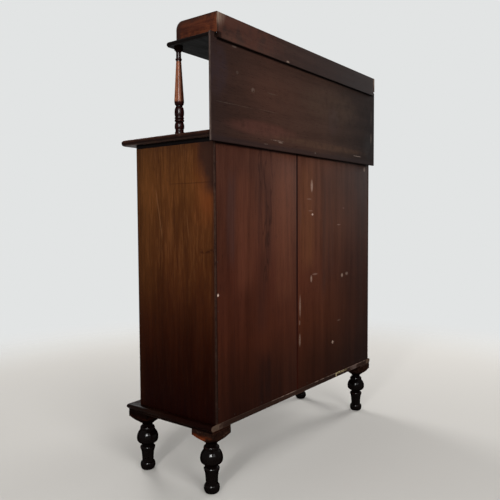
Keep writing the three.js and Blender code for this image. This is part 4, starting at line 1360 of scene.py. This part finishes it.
def gallery_end_marks(place, facing, colour, matt):
    """Dark polish along the top and the front corner, and the rear end scraped pale."""
    _, depth, rise = place.axes()
    mottle = place.noise(34, 4, 0.65)
    upper = (rise + (mottle - 0.5) * 0.02).eased(1.286, 1.299)
    fore = (depth + (mottle - 0.5) * 0.03).eased(0.07, 0.048)
    patch = depth.eased(0.11, 0.16) * mottle.eased(0.4, 0.6)
    patch = patch.most(rise.eased(1.276, 1.26) * mottle.eased(0.45, 0.6))
    rear = facing.axes()[1].eased(0.4, 0.8)
    upright = place.stretched(1, 1, 0.12)
    bare = upright.noise(240, 2, 0.6).shades((0.36, 78, 60, 50), (0.62, 130, 112, 98))
    worn_off = rear * (rise + (mottle - 0.5) * 0.03).eased(1.262, 1.285)
    colour = colour.stained(
        (upper.most(fore) * 0.6, 34, 22, 18), (patch * 0.35, 104, 54, 30), (rear, 50, 30, 23),
    )
    return worn_off.tint(colour, bare), matt


gallery_corner = 22 * mm
corner_steps = 16
for name, seed in (("right", 72), ("left", 73)):
    node = f"gallery_end_{name}"
    low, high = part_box(node)
    outline = [(high.y, low.z), (high.y, high.z)]
    for step in range(corner_steps + 1):
        angle = math.pi / 2 + math.pi / 2 * step / corner_steps
        y = low.y + gallery_corner + gallery_corner * math.cos(angle)
        outline.append((y, high.z - gallery_corner + gallery_corner * math.sin(angle)))
    outline.append((low.y, low.z))
    ends = [[(x, y, z) for y, z in outline] for x in (low.x, high.x)]
    finish = timber(
        f"{node}_mahogany", node, "Y", ((34, 14, 9), (54, 25, 16), (76, 39, 25)), seed,
        worn=(108, 76, 56), wear=1.4 * mm, wear_amount=0.3, roughness=(0.35, 0.55), specular=0.02,
        marks=gallery_end_marks, contrast=1.1,
    )
    mesh = strip_mesh(*ends)
    add_piece(f"{node}_board", mesh, finish, "gallery_wood", node)


# The studio
# A pale floor that fades into a pale surround, soft lamps on all sides, and the camera of the
# photograph, low and behind the right-hand end.

surround = tone(226, 228, 228)
floor_radius = 3.4
floor_low = cad_bounds[0].z
work = bmesh.new()
bmesh.ops.create_circle(work, cap_ends=True, segments=96, radius=floor_radius)
bmesh.ops.translate(work, verts=work.verts, vec=(0, 0, floor_low - 0.2 * mm))
floor = set_out("studio_floor", eased_work(work, 0))
material, place, _ = blank("pale_floor")
away = place.node("VectorMath", {"operation": "LENGTH"}, {0: place}, output=1)
matt_ground = {"Base Color": tone(196, 193, 188), "Roughness": 0.7, "Specular IOR Level": 0.0}
ground = place.node("BsdfPrincipled", {}, matt_ground)
clear = place.node("BsdfTransparent")
mixed = place.node("MixShader", {}, {0: away.eased(1.4, 2.6), 1: ground, 2: clear})
place.node("OutputMaterial", {}, {"Surface": mixed})
floor.data.materials.append(material)

world = bpy.data.worlds.new("studio_surround")
world.use_nodes = True
world.node_tree.nodes.clear()
air = Wire(world.node_tree)
lit = air.node("LightPath", output=0)
for ray in (3, 6):
    lit = lit.most(air.node("LightPath", output=ray))
shown = air.node("Background", {}, {"Color": surround, "Strength": 1.0})
ambient = air.node("Background", {}, {"Color": (1, 1, 1, 1), "Strength": 0.4})
air.node("OutputWorld", {}, {"Surface": air.node("MixShader", {}, {0: lit, 1: ambient, 2: shown})})
bpy.context.scene.world = world


def soft_lamp(name, place, aim, width, height, power):
    """A soft upright lamp at a place, turned to a point."""
    light = bpy.data.lights.new(name, "AREA")
    light.shape = "RECTANGLE"
    light.size = width
    light.size_y = height
    light.energy = power
    lamp = set_out(name, light)
    lamp.location = place
    lamp.rotation_euler = (Vector(aim) - Vector(place)).to_track_quat("-Z", "Y").to_euler()
    lamp.visible_camera = False
    return lamp


soft_lamp("key_lamp", (2.85, 0.95, 1.5), (0, 0, 0.8), 0.26, 1.4, 38)
soft_lamp("back_lamp", (1.5, 3.0, 2.1), (0, 0, 0.8), 1.5, 1.5, 62)
gleam_lamp = soft_lamp("gleam_lamp", (2.5, 1.5, 1.8), (0, 0, 0.6), 0.8, 0.8, 320)
gleam_lamp.visible_diffuse = False
soft_lamp("front_lamp", (-1.2, -3.2, 2.2), (0, 0, 0.7), 1.6, 1.6, 84)
soft_lamp("far_lamp", (-3.0, 0.6, 1.8), (0, 0, 0.7), 0.9, 1.6, 48)

camera_data = bpy.data.cameras.new("photograph_camera")
camera_data.sensor_width = 36
camera_data.lens = 41.556
camera = set_out("photograph_camera", camera_data)
camera_right = Vector((-0.60727, 0.79447, -0.00589))
camera_up = Vector((-0.04598, -0.02774, 0.99856))
camera_back = Vector((0.79316, 0.60667, 0.05337))
camera.matrix_world = Matrix.Translation((1.62636, 1.17947, 0.76344)) @ (
    Matrix((camera_right, camera_up, camera_back)).transposed().to_4x4()
)
bpy.context.scene.camera = camera
bpy.context.scene.view_settings.view_transform = "Standard"
